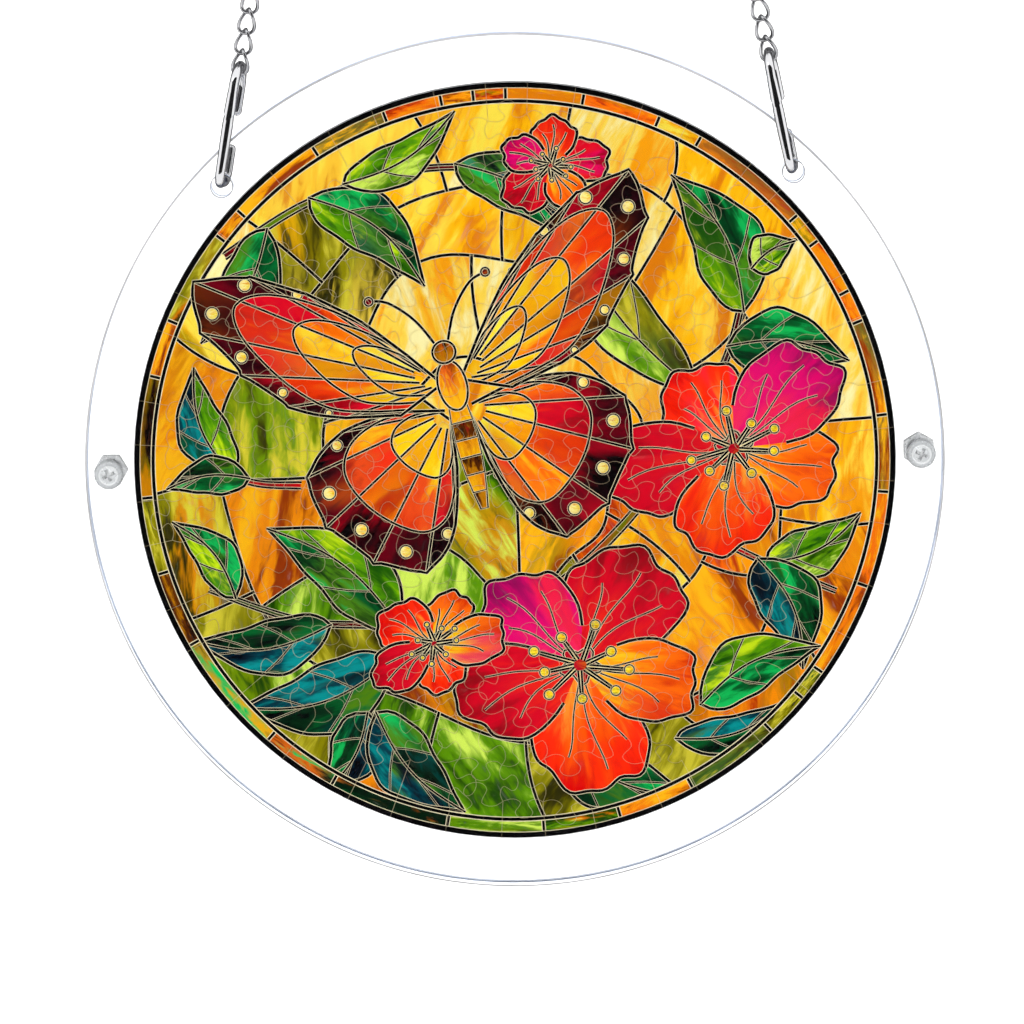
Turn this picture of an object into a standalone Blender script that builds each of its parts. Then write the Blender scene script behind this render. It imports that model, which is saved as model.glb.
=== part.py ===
"""Round acrylic puzzle suncatcher, hanging on its chain.

Two clear discs hold a printed jigsaw between them with two nylon screws. An open wire hook
goes through each of two holes near the rim, and one chain of twisted links runs from hook to
hook over whatever the suncatcher hangs on.

Lengths are in metres. +Z is up and the picture faces -Y. The origin is where the chain rests
on its peg, under the middle link.
"""

import math

import bmesh
import bpy
from mathutils import Matrix, Vector

# Discs
PLATE_RADIUS = 0.100
PLATE_THICK = 0.0020
PUZZLE_RADIUS = 0.0887
PUZZLE_THICK = 0.0030
DISC_SEGMENTS = 64
GAP = 0.0003                    # air between pieces that rest on each other

# Hanging holes and screw holes, between the puzzle and the rim
HOLE_CIRCLE = 0.0936            # radius of the circle that the hanging holes lie on
HANG_HOLE_RADIUS = 0.0025
HANG_HOLE_ANGLE = math.radians(45)
SCREW_CIRCLE = 0.0944
SCREW_HOLE_RADIUS = 0.00225
HOLE_SEGMENTS = 12
SCREW_SEGMENTS = 12

# Nylon screws and nuts
SHANK_RADIUS = 0.0019
HEAD_RADIUS = 0.0034
HEAD_HEIGHT = 0.0024
RECESS_REACH = 0.0018
RECESS_WIDTH = 0.0009
RECESS_DEPTH = 0.0011
TIP_LENGTH = 0.0012             # shank beyond the nut
NUT_FLATS = 0.0070
NUT_THICK = 0.0030
NUT_TURNS = (math.radians(30), 0.0)     # left and right, from a corner on top

# Wire hooks between the chain and the plates
HOOK_WIRE = 0.00114             # radius of the wire at both bends
HOOK_LENGTH = 0.0297            # outside, end to end
HOOK_LEAN = math.radians(10.5)
HOOK_YAW = math.radians(7)      # both hooks are turned this far about their own length
HOOK_CLEARANCE = 0.0005         # between the wire and a plate's outer face
HOOK_CORNER = 0.0030            # the two lower bends
HOOK_TIP = 0.0088               # height of the open tip behind the plates
HOOK_BACK_END = 0.0165          # where the upper half ends behind
SLEEVE_END = 0.0169             # the front's upper half is a sleeve down to here
SLEEVE_RADIUS = 0.00145
ARM_RADIUS = 0.00132            # the front's lower half at its thickest
TOP_STEPS = 8
CORNER_STEPS = 3

# Chain of twisted links
WIRE = 0.00045                  # radius of the link wire
WIRE_RIDGE = WIRE * math.sqrt(math.pi) / 2  # from its centre line to the ridge that bears
WIRE_BACK = 0.00042             # from the centre line to the flat on the other side
WIRE_BACK_HALF = 0.0006         # half the width of that flat
LINK_HALF_LENGTH = 0.00272      # all link sizes are to the centre line of the wire
LINK_HALF_WIDTH = 0.00185
LINK_SIDE = 0.00145             # half of a link's straight side
LINK_END = 0.00095              # half of its straight end
LINK_TWIST = math.radians(45)   # each end is turned this far out of the link's middle
CHAIN_ROLL = math.radians(128)  # the whole chain turns this far from the peg to each hook
LINKS_PER_RUN = 60              # from a hook up to the peg
LINKS_OVER_PEG = 5
PEG_BEND = 0.0090               # radius of the chain's centre line round the peg
CHAIN_HALF_THICK = 0.0013       # the chain lying flat, from its centre line to the peg
LINK_OVERLAP = 0.00012          # touching links run this far into each other and join
LINK_GAP = 0.00015              # between links that stay apart
HOOK_SEAT = 0.0003              # between the last link and the hook's inner top

# Worked out from the sizes above
STACK_HALF = PUZZLE_THICK / 2 + GAP + PLATE_THICK
HOOK_HALF_DEPTH = STACK_HALF + HOOK_CLEARANCE + HOOK_WIRE
HOOK_RISE = HOOK_LENGTH - 2 * HOOK_WIRE
LINK_PITCH = 2 * LINK_HALF_LENGTH - 2 * WIRE_RIDGE + LINK_OVERLAP
LOOSE_PITCH = 2 * LINK_HALF_LENGTH - 2 * WIRE_RIDGE - LINK_GAP
LAST_OVER_PEG = (LINKS_OVER_PEG - 1) / 2
RUN_START = LAST_OVER_PEG * LINK_PITCH + LOOSE_PITCH
RUN_END = RUN_START + (LINKS_PER_RUN - 1) * LINK_PITCH
CHAIN_END = RUN_END + LINK_HALF_LENGTH - WIRE_RIDGE - HOOK_SEAT


# Materials and small helpers

def material(name, color, roughness, metallic=0.0, transmission=0.0):
    made = bpy.data.materials.new(name)
    made.use_nodes = True
    shader = made.node_tree.nodes["Principled BSDF"]
    shader.inputs["Base Color"].default_value = (*color, 1.0)
    shader.inputs["Roughness"].default_value = roughness
    shader.inputs["Metallic"].default_value = metallic
    shader.inputs["Transmission Weight"].default_value = transmission
    return made


def add_object(name, data, finish=None, location=(0, 0, 0)):
    obj = bpy.data.objects.new(name, data)
    obj.location = location
    if finish:
        data.materials.append(finish)
    bpy.context.scene.collection.objects.link(obj)
    return obj


def mesh_from(name, bm):
    bmesh.ops.recalc_face_normals(bm, faces=bm.faces)
    mesh = bpy.data.meshes.new(name)
    bm.to_mesh(mesh)
    bm.free()
    return mesh


def add_rod(bm, radius, y_front, y_back, segments, x=0.0, z=0.0, turn=0.0):
    """A closed cylinder or prism whose axis runs along Y."""
    lay = Matrix.Rotation(math.radians(90), 4, "X") @ Matrix.Rotation(turn, 4, "Z")
    place = Matrix.Translation((x, (y_front + y_back) / 2, z)) @ lay
    bmesh.ops.create_cone(bm, cap_ends=True, segments=segments, radius1=radius,
                          radius2=radius, depth=y_back - y_front, matrix=place)


def as_tool(obj):
    obj.hide_render = True
    obj.display_type = "WIRE"
    return obj


def add_boolean(obj, operation, tool):
    modifier = obj.modifiers.new(operation.lower(), "BOOLEAN")
    modifier.operation = operation
    modifier.solver = "EXACT"
    modifier.object = tool


def shade_round(obj, angle=35):
    obj.data.shade_smooth()
    obj.data.set_sharp_from_angle(angle=math.radians(angle))


# Where the chain runs. The right half is worked out from the arc's centre, as (x, z)

def chain_point(lean, distance):
    """Point and direction of the chain's centre line, so far along it from the middle link.

    It bends round the peg on an arc, then hangs straight, `lean` off the vertical.
    """
    arc = math.pi / 2 - lean
    if distance < PEG_BEND * arc:
        turn = distance / PEG_BEND
        return (Vector((math.sin(turn), math.cos(turn))) * PEG_BEND,
                Vector((math.cos(turn), -math.sin(turn))))
    down = Vector((math.sin(lean), -math.cos(lean)))
    tangent = Vector((math.cos(lean), math.sin(lean))) * PEG_BEND
    return tangent + down * (distance - PEG_BEND * arc), down


def hook_reach():
    """From a hanging hole's centre to the hook's inner top, along the hook."""
    bend = HOOK_CORNER - math.sqrt(
        HOOK_CORNER ** 2 - (STACK_HALF - HOOK_HALF_DEPTH + HOOK_CORNER) ** 2)
    seat = HANG_HOLE_RADIUS - GAP - HOOK_WIRE - bend
    return seat, seat + HOOK_RISE - HOOK_WIRE


def chain_lean():
    """The lean of the straight runs that brings the chain's ends onto the hooks."""
    target = HOLE_CIRCLE * math.sin(HANG_HOLE_ANGLE) - HOOK_TOP * math.sin(HOOK_LEAN)
    low, high = math.radians(5), math.radians(30)
    while high - low > 1e-9:
        middle = (low + high) / 2
        if chain_point(middle, CHAIN_END)[0].x < target:
            low = middle
        else:
            high = middle
    return low


HOOK_SEAT_RISE, HOOK_TOP = hook_reach()
CHAIN_LEAN = chain_lean()
ARC_CENTRE_Z = CHAIN_HALF_THICK - PEG_BEND
HOLE_X = HOLE_CIRCLE * math.sin(HANG_HOLE_ANGLE)
HOLE_Z = (ARC_CENTRE_Z + chain_point(CHAIN_LEAN, CHAIN_END)[0].y
          - HOOK_TOP * math.cos(HOOK_LEAN))
CENTRE_Z = HOLE_Z - HOLE_CIRCLE * math.cos(HANG_HOLE_ANGLE)


# The pieces

def make_plate(name, y_front, finish):
    bm = bmesh.new()
    add_rod(bm, PLATE_RADIUS, y_front, y_front + PLATE_THICK, DISC_SEGMENTS)
    plate = add_object(name, mesh_from(name, bm), finish, (0, 0, CENTRE_Z))

    holes = bmesh.new()
    reach = HOLE_CIRCLE * math.sin(HANG_HOLE_ANGLE)
    rise = HOLE_CIRCLE * math.cos(HANG_HOLE_ANGLE)
    y_back = y_front + PLATE_THICK
    for side in (-1, 1):
        add_rod(holes, HANG_HOLE_RADIUS, y_front - GAP, y_back + GAP, HOLE_SEGMENTS,
                x=side * reach, z=rise)
        add_rod(holes, SCREW_HOLE_RADIUS, y_front - GAP, y_back + GAP, HOLE_SEGMENTS,
                x=side * SCREW_CIRCLE)
    tool = add_object(name + "_holes", mesh_from(name + "_holes", holes),
                      location=(0, 0, CENTRE_Z))
    add_boolean(plate, "DIFFERENCE", as_tool(tool))
    shade_round(plate)


def make_puzzle(finish):
    bm = bmesh.new()
    add_rod(bm, PUZZLE_RADIUS, -PUZZLE_THICK / 2, PUZZLE_THICK / 2, DISC_SEGMENTS)
    puzzle = add_object("puzzle_disc", mesh_from("puzzle_disc", bm), finish,
                        (0, 0, CENTRE_Z))
    shade_round(puzzle)


def make_screw(name, x, finish):
    """Pan head in front, shank through both plates, with a cross recess in the head."""
    under_head = -STACK_HALF - GAP
    tip = STACK_HALF + GAP + NUT_THICK + TIP_LENGTH
    profile = [
        (0.0, under_head - HEAD_HEIGHT),
        (HEAD_RADIUS * 0.70, under_head - HEAD_HEIGHT),
        (HEAD_RADIUS * 0.93, under_head - HEAD_HEIGHT * 0.72),
        (HEAD_RADIUS, under_head - HEAD_HEIGHT * 0.30),
        (HEAD_RADIUS, under_head),
        (SHANK_RADIUS, under_head),
        (SHANK_RADIUS, tip - SHANK_RADIUS * 0.25),
        (SHANK_RADIUS * 0.75, tip),
        (0.0, tip),
    ]
    bm = bmesh.new()
    line = [bm.verts.new((radius, y, 0)) for radius, y in profile]
    edges = [bm.edges.new(pair) for pair in zip(line, line[1:])]
    bmesh.ops.spin(bm, geom=line + edges, cent=(0, 0, 0), axis=(0, 1, 0),
                   angle=math.tau, steps=SCREW_SEGMENTS, use_merge=True)
    bmesh.ops.remove_doubles(bm, verts=bm.verts, dist=1e-6)
    screw = add_object(name, mesh_from(name, bm), finish, (x, 0, CENTRE_Z))

    cross = bmesh.new()
    corners = [(RECESS_WIDTH / 2, RECESS_REACH), (RECESS_WIDTH / 2, RECESS_WIDTH / 2),
               (RECESS_REACH, RECESS_WIDTH / 2)]
    outline = []
    for quarter in range(4):
        spin = Matrix.Rotation(-math.radians(90) * quarter, 2)
        outline += [spin @ Vector(corner) for corner in corners]
    face_y = under_head - HEAD_HEIGHT
    face = cross.faces.new([cross.verts.new((p.x, face_y - GAP, p.y)) for p in outline])
    deep = bmesh.ops.extrude_face_region(cross, geom=[face])["geom"]
    bmesh.ops.translate(cross, vec=(0, GAP + RECESS_DEPTH, 0),
                        verts=[part for part in deep if isinstance(part, bmesh.types.BMVert)])
    tool = add_object(name + "_recess", mesh_from(name + "_recess", cross),
                      location=(x, 0, CENTRE_Z))
    add_boolean(screw, "DIFFERENCE", as_tool(tool))
    shade_round(screw)


def make_nut(name, x, turn, finish):
    y_front = STACK_HALF + GAP
    y_back = y_front + NUT_THICK
    corner_radius = NUT_FLATS / 2 / math.cos(math.radians(30))
    bm = bmesh.new()
    add_rod(bm, corner_radius, y_front, y_back, 6, turn=turn)
    nut = add_object(name, mesh_from(name, bm), finish, (x, 0, CENTRE_Z))
    hole = bmesh.new()
    add_rod(hole, SHANK_RADIUS + GAP, y_front - GAP, y_back + GAP, HOLE_SEGMENTS)
    tool = add_object(name + "_hole", mesh_from(name + "_hole", hole),
                      location=(x, 0, CENTRE_Z))
    add_boolean(nut, "DIFFERENCE", as_tool(tool))


def hook_outline():
    """The wire's centre line as (y, height along the hook, wire radius), front sleeve first.

    The hook stands nearly square to the plates: its front runs down before them, its foot
    goes through both holes and its tip ends behind. The upper half comes round the top and
    stops short of the tip, which leaves the opening.
    """
    depth = HOOK_HALF_DEPTH
    points = [(depth, HOOK_BACK_END, HOOK_WIRE)]
    for step in range(TOP_STEPS + 1):
        turn = math.pi * step / TOP_STEPS
        points.append((depth * math.cos(turn), HOOK_RISE - depth + depth * math.sin(turn),
                       HOOK_WIRE))
    points += [(-depth, SLEEVE_END, SLEEVE_RADIUS),
               (-depth, SLEEVE_END - 0.0002, HOOK_WIRE),
               (-depth, (SLEEVE_END + HOOK_CORNER) / 2, ARM_RADIUS)]
    for side in (-1, 1):
        for step in range(CORNER_STEPS + 1):
            turn = math.pi / 2 / CORNER_STEPS * (step if side < 0 else CORNER_STEPS - step)
            points.append((side * (depth - HOOK_CORNER + HOOK_CORNER * math.cos(turn)),
                           HOOK_CORNER - HOOK_CORNER * math.sin(turn), HOOK_WIRE))
    points.append((depth, HOOK_TIP, HOOK_WIRE))
    return points


def make_hook(name, side, finish):
    up = Vector((-side * math.sin(HOOK_LEAN), 0, math.cos(HOOK_LEAN)))
    across = Vector((math.cos(HOOK_LEAN), 0, side * math.sin(HOOK_LEAN)))
    backward = Vector((0, math.cos(HOOK_YAW), 0)) + across * math.sin(HOOK_YAW)
    foot = Vector((side * HOLE_X, 0, HOLE_Z)) + up * HOOK_SEAT_RISE
    curve = bpy.data.curves.new(name, "CURVE")
    curve.dimensions = "3D"
    curve.bevel_depth = 1.0     # each point's radius gives the wire its real size
    curve.bevel_resolution = 2
    curve.use_fill_caps = True
    outline = hook_outline()
    spline = curve.splines.new("POLY")
    spline.points.add(len(outline) - 1)
    for point, (y, height, radius) in zip(spline.points, outline):
        place = foot + up * height + backward * y
        point.co = (*place, 1.0)
        point.radius = radius
    add_object(name, curve, finish)


def link_points(number):
    """Centre line of one link. Links are counted from the middle one, negative to the left.

    The chain lies flat on the peg. It turns about itself on its way down, so far that the
    last link's lower end stands square to the hook's wire.
    """
    steps = abs(number)
    distance = steps * LINK_PITCH
    if steps > LAST_OVER_PEG:
        distance = RUN_START + (steps - LAST_OVER_PEG - 1) * LINK_PITCH
    point, direction = chain_point(CHAIN_LEAN, distance)
    side = -1 if number < 0 else 1
    centre = Vector((side * point.x, 0, ARC_CENTRE_Z + point.y))
    along = Vector((direction.x, 0, side * direction.y))
    last = LAST_OVER_PEG + LINKS_PER_RUN
    roll = math.radians(90) + CHAIN_ROLL * number / last
    front = Vector((0, 1, 0))
    width = front.cross(along) * math.cos(roll) + front * math.sin(roll)
    thick = along.cross(width)

    corners = [(LINK_HALF_WIDTH, -LINK_SIDE), (LINK_HALF_WIDTH, LINK_SIDE),
               (LINK_END, LINK_HALF_LENGTH), (-LINK_END, LINK_HALF_LENGTH)]
    corners += [(-w, -u) for w, u in corners]
    points = []
    for w, u in corners:
        twist = -LINK_TWIST * u / LINK_HALF_LENGTH
        points.append(centre + along * u + width * (w * math.cos(twist))
                      + thick * (w * math.sin(twist)))
    return points, thick


def add_link(bm, points, thick):
    """Sweep a three-sided wire round the closed centre line, mitred at its corners.

    Its ridge faces into the link, where the next link bears on it.
    """
    rings = []
    for index, point in enumerate(points):
        arriving = (point - points[index - 1]).normalized()
        leaving = (points[(index + 1) % len(points)] - point).normalized()
        tangent = (arriving + leaving).normalized()
        inward = tangent.cross(thick).normalized()
        up = inward.cross(tangent) * WIRE_BACK_HALF
        mitre = inward / tangent.dot(leaving)
        ring = [point + mitre * WIRE_RIDGE, point - mitre * WIRE_BACK + up,
                point - mitre * WIRE_BACK - up]
        rings.append([bm.verts.new(place) for place in ring])
    for ring, following in zip(rings, rings[1:] + rings[:1]):
        for side in range(len(ring)):
            after = (side + 1) % len(ring)
            bm.faces.new((ring[side], ring[after], following[after], following[side]))


def links_mesh(name, numbers):
    bm = bmesh.new()
    for number in numbers:
        add_link(bm, *link_points(number))
    bmesh.ops.triangulate(bm, faces=bm.faces)
    return mesh_from(name, bm)


def make_chain(name, first, last, finish):
    """Every second link in one mesh, the links between in another, joined where they touch."""
    chain = add_object(name, links_mesh(name, range(first, last + 1, 2)), finish)
    between = add_object(name + "_between",
                         links_mesh(name + "_between", range(first + 1, last + 1, 2)))
    add_boolean(chain, "UNION", as_tool(between))


def main():
    for old in list(bpy.data.objects):
        bpy.data.objects.remove(old, do_unlink=True)

    clear = material("clear_acrylic", (0.95, 0.97, 0.98), 0.03, transmission=1.0)
    print_ = material("printed_acrylic", (0.85, 0.50, 0.10), 0.15)
    nylon = material("clear_nylon", (0.88, 0.90, 0.90), 0.30, transmission=0.6)
    bright = material("bright_wire", (0.78, 0.78, 0.78), 0.12, metallic=1.0)

    make_plate("front_plate", -STACK_HALF, clear)
    make_plate("back_plate", STACK_HALF - PLATE_THICK, clear)
    make_puzzle(print_)
    for side, word, nut_turn in zip((-1, 1), ("left", "right"), NUT_TURNS):
        make_screw("screw_" + word, side * SCREW_CIRCLE, nylon)
        make_nut("nut_" + word, side * SCREW_CIRCLE, nut_turn, nylon)
        make_hook("wire_hook_" + word, side, bright)

    over = int(LAST_OVER_PEG)
    last = over + LINKS_PER_RUN
    make_chain("chain_left", -last, -over - 1, bright)
    make_chain("chain_over_peg", -over, over, bright)
    make_chain("chain_right", over + 1, last, bright)


main()
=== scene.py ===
# %% [markdown]
# # A puzzle suncatcher of clear and printed acrylic
#
# Two clear discs hold a round jigsaw between them with two nylon screws. Wire hooks and one
# chain of twisted links hang it from a peg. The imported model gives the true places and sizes
# of all of that. This lesson makes the surfaces: polished discs, a stained-glass picture cut
# into a jigsaw, bright wire, and moulded nylon.

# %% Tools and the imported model
import math
import random

import bmesh
import bpy
from mathutils import Matrix, Vector
from mathutils.geometry import delaunay_2d_cdt


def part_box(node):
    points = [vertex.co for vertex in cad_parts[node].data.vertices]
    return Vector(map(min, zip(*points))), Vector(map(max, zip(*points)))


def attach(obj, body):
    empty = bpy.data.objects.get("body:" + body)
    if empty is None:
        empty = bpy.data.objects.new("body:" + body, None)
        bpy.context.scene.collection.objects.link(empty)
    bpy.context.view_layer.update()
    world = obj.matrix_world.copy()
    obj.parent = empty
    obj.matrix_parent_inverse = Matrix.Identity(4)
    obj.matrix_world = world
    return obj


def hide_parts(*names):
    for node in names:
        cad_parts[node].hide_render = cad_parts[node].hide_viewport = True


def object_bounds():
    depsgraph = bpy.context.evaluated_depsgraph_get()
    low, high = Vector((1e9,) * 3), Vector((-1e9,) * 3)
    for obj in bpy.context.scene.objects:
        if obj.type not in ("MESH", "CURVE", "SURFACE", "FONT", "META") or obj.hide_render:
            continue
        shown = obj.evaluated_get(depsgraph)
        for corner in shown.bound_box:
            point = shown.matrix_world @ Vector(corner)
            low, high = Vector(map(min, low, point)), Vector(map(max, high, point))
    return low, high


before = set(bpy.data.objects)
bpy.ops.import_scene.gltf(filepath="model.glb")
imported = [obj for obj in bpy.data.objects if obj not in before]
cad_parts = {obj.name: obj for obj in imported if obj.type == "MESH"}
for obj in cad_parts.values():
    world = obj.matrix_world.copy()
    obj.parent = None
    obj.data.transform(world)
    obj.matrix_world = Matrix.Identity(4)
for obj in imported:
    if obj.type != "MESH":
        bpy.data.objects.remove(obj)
cad_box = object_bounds()
MM = 0.001
print("CAD nodes:", ", ".join(sorted(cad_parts)))

# %% [markdown]
# Every place comes from the imported solids. The puzzle's box gives the middle of the picture,
# and the plates' boxes give their faces.

# %% Places from the imported model
puzzle_low, puzzle_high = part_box("puzzle_disc")
CENTRE = (puzzle_low + puzzle_high) / 2
PUZZLE_RADIUS = (puzzle_high.x - puzzle_low.x) / 2
PUZZLE_HALF = (puzzle_high.y - puzzle_low.y) / 2
plate_low, plate_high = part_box("front_plate")
PLATE_RADIUS = (plate_high.x - plate_low.x) / 2
STACK_HALF = -plate_low.y
GAP = 0.3 * MM                      # air between neighbours
HOLE_CIRCLE = 93.6 * MM             # where the hanging holes lie
HANG_ANGLE = math.radians(45)
SCREW_CIRCLE = 94.4 * MM
RIM_STEPS = 256                     # sides of every large circle
print(f"centre {tuple(round(c, 5) for c in CENTRE)}, plate radius {PLATE_RADIUS:.4f}")

# %% [markdown]
# ## Camera and studio
#
# The suncatcher is looked at nearly straight on with a long lens, from a little above, and the
# camera is rolled a touch. A white sweep behind it and an even white world give the clean
# light that clear acrylic needs: everything the discs bend or mirror is then white too.

# %% Camera
LENS = 218.5
CAMERA_DISTANCE = 1.45
CAMERA_HEIGHT_ANGLE = math.radians(7.5)
CAMERA_ROLL = math.radians(1.5)
AIM_LEFT_OF_CENTRE = 1.0 * MM
AIM_BELOW_CENTRE = 11.8 * MM

aim = CENTRE + Vector((-AIM_LEFT_OF_CENTRE, 0, -AIM_BELOW_CENTRE))
back = Vector((0, -math.cos(CAMERA_HEIGHT_ANGLE), math.sin(CAMERA_HEIGHT_ANGLE)))
camera = bpy.data.objects.new("camera", bpy.data.cameras.new("camera"))
bpy.context.scene.collection.objects.link(camera)
camera.data.lens = LENS
camera.data.clip_start = 0.01
look = (-back).to_track_quat("-Z", "Y").to_matrix().to_4x4()
roll = Matrix.Rotation(-CAMERA_ROLL, 4, "Z")
camera.matrix_world = Matrix.Translation(aim + back * CAMERA_DISTANCE) @ look @ roll
bpy.context.scene.camera = camera
print("camera at", tuple(round(c, 3) for c in camera.location))

# %% [markdown]
# The colours are kept as they are mixed, with the plain Standard view, because a print's
# strong reds and yellows are what is wanted here.

# %% World and view
WORLD_LIGHT = 2.1

bpy.context.scene.view_settings.view_transform = "Standard"
world = bpy.data.worlds.new("white_studio")
world.use_nodes = True
sky = world.node_tree.nodes["Background"]
sky.inputs["Color"].default_value = (1.0, 1.0, 1.0, 1.0)
sky.inputs["Strength"].default_value = WORLD_LIGHT
bpy.context.scene.world = world
print("world light", WORLD_LIGHT)

# %% [markdown]
# A material helper keeps the cells short. It returns the node tree and the Principled shader,
# sets the plain values on the shader's own sockets, and leaves patterns to each finish.

# %% Helpers for materials
def shade(hex_code):
    """A colour written as RRGGBB, as the linear values that Blender's shaders use."""
    parts = [int(hex_code[i:i + 2], 16) / 255 for i in (0, 2, 4)]
    return tuple(p / 12.92 if p <= 0.04045 else ((p + 0.055) / 1.055) ** 2.4 for p in parts)


def new_finish(name, color, **values):
    finish = bpy.data.materials.new(name)
    finish.use_nodes = True
    shader = finish.node_tree.nodes["Principled BSDF"]
    shader.inputs["Base Color"].default_value = (*color, 1.0)
    for socket, value in values.items():
        shader.inputs[socket.replace("_", " ")].default_value = value
    finish.diffuse_color = (*color, 1.0)
    return finish, finish.node_tree, shader


# %% [markdown]
# Patterns are built from nodes. These helpers each add one node and hand on its output, so a
# finish can be read as one line after another.

# %% Helpers for patterns
def add_node(tree, kind, **settings):
    node = tree.nodes.new(kind)
    for setting, value in settings.items():
        setattr(node, setting, value)
    return node


def maths(tree, operation, first, second=0.0, clamp=False):
    """A Math node. Each input is a number or another node's output."""
    node = add_node(tree, "ShaderNodeMath", operation=operation, use_clamp=clamp)
    for socket, value in zip(node.inputs, (first, second)):
        if isinstance(value, (int, float)):
            socket.default_value = value
        else:
            tree.links.new(value, socket)
    return node.outputs[0]


def spread(tree, value, low, high, to_low=0.0, to_high=1.0):
    """A smooth step: low and below gives to_low, high and above gives to_high."""
    node = add_node(tree, "ShaderNodeMapRange", interpolation_type="SMOOTHSTEP")
    tree.links.new(value, node.inputs["Value"])
    for name, number in zip(("From Min", "From Max", "To Min", "To Max"),
                            (low, high, to_low, to_high)):
        node.inputs[name].default_value = number
    return node.outputs["Result"]


def blend_colors(tree, share, first, second):
    """Mixes two colours. share, first and second are numbers, colours or outputs."""
    node = add_node(tree, "ShaderNodeMix", data_type="RGBA")
    for socket, value in ((node.inputs[0], share), (node.inputs[6], first),
                          (node.inputs[7], second)):
        if isinstance(value, bpy.types.NodeSocket):
            tree.links.new(value, socket)
        elif isinstance(value, tuple):
            socket.default_value = (*value, 1.0)
        else:
            socket.default_value = value
    return node.outputs[2]


def noise_of(tree, vector, scale, detail=3.0, roughness=0.55, distortion=0.0, seed=None):
    node = add_node(tree, "ShaderNodeTexNoise", noise_dimensions="4D" if seed else "3D")
    if seed:
        tree.links.new(maths(tree, "MULTIPLY", seed, 37.0), node.inputs["W"])
    node.inputs["Scale"].default_value = scale
    node.inputs["Detail"].default_value = detail
    node.inputs["Roughness"].default_value = roughness
    node.inputs["Distortion"].default_value = distortion
    tree.links.new(vector, node.inputs["Vector"])
    return node.outputs["Fac"]


def object_place(tree):
    return add_node(tree, "ShaderNodeTexCoord").outputs["Object"]


def attribute(tree, name, output="Fac"):
    return add_node(tree, "ShaderNodeAttribute", attribute_name=name).outputs[output]


def uneven_gloss(tree, shader, scale, low, high, detail=2.0):
    """Lets the roughness wander from low to high, and returns the noise it follows."""
    noise = noise_of(tree, object_place(tree), scale, detail)
    tree.links.new(spread(tree, noise, 0.3, 0.7, low, high), shader.inputs["Roughness"])
    return noise


def add_bump(tree, shader, height, strength, depth):
    bump = add_node(tree, "ShaderNodeBump")
    bump.inputs["Strength"].default_value = strength
    bump.inputs["Distance"].default_value = depth
    tree.links.new(height, bump.inputs["Height"])
    tree.links.new(bump.outputs["Normal"], shader.inputs["Normal"])


# %% [markdown]
# A piece is shaped as a bmesh, becomes an object at the origin, and is then mounted.

# %% Helpers for meshes
def new_verts(result):
    """The vertices that an extrusion made."""
    return [part for part in result["geom"] if isinstance(part, bmesh.types.BMVert)]


def object_from(name, bm, *finishes, smooth_angle=None):
    """Ends a bmesh: its mesh gets the finishes and an object at the origin."""
    mesh = bpy.data.meshes.new(name)
    bm.to_mesh(mesh)
    bm.free()
    for finish in finishes:
        mesh.materials.append(finish)
    if smooth_angle:
        mesh.shade_smooth()
        mesh.set_sharp_from_angle(angle=math.radians(smooth_angle))
    made = bpy.data.objects.new(name, mesh)
    bpy.context.scene.collection.objects.link(made)
    return made


def mount_piece(piece, slot, *nodes):
    """Rides on the one body and stands for its CAD nodes, which it hides. slot is not used."""
    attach(piece, "root")
    if nodes:
        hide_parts(*nodes)
    print(f"{piece.name}: {len(piece.data.polygons)} faces")


# %% [markdown]
# The sweep is a floor that curves up behind. A plain profile line is extruded sideways into a
# strip. It lies well below and behind the suncatcher, so no edge of it shows from any side.

# %% Floor and backdrop
FLOOR_BELOW = 1.4
SWEEP_BACK = 5.0
SWEEP_FRONT = -6.0
SWEEP_HALF_WIDTH = 6.5
SWEEP_BEND = 1.0
SWEEP_BEND_STEPS = 12
SWEEP_TOP = 4.5

floor_z = cad_box[0].z - FLOOR_BELOW
bm = bmesh.new()
profile = [(SWEEP_FRONT, 0.0), (SWEEP_BACK - SWEEP_BEND, 0.0)]
for step in range(1, SWEEP_BEND_STEPS + 1):
    turn = math.pi / 2 * step / SWEEP_BEND_STEPS
    profile.append((SWEEP_BACK - SWEEP_BEND + SWEEP_BEND * math.sin(turn),
                    SWEEP_BEND - SWEEP_BEND * math.cos(turn)))
profile.append((SWEEP_BACK, SWEEP_TOP))
line = [bm.verts.new((SWEEP_HALF_WIDTH, y, floor_z + z)) for y, z in profile]
edges = [bm.edges.new(pair) for pair in zip(line, line[1:])]
strip = bmesh.ops.extrude_edge_only(bm, edges=edges)
bmesh.ops.translate(bm, verts=new_verts(strip), vec=(-2 * SWEEP_HALF_WIDTH, 0, 0))
bmesh.ops.recalc_face_normals(bm, faces=bm.faces)
paper, tree, shader = new_finish("white_paper", (0.93, 0.93, 0.93), Roughness=0.9)
uneven_gloss(tree, shader, 3.0, 0.88, 0.95, detail=3.0)
sweep = object_from("paper_sweep", bm, paper, smooth_angle=40)
print("floor at", round(floor_z, 3))

# %% [markdown]
# A broad lamp up on the left gives the wire and the nylon a direction. Polished wire also
# needs something dark to mirror, or it looks like white string, and so does the sheen on the
# discs, or it veils the print. So curved strips of black paper stand in front and behind, and
# a wide grey sheet stands far back, for the outline of the wire. Over and under the strips the
# white shows again, so bends in the wire turn light. These papers are there for mirrored light
# only: any other ray passes through them.

# %% Lamp and mirrored papers
LAMP_PLACE = (-0.9, -1.1, 0.8)
LAMP_SIZE = 0.9
LAMP_POWER = 5.0
BAND_RADIUS = 1.3
BAND_WIDTH = 2.5
BAND_ABOVE = 1.00                   # how far it goes above the discs' middle, and below
BAND_BELOW = 0.42
SHEET_DISTANCE = 1.0
SHEET_SIZE = 3.4

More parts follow.
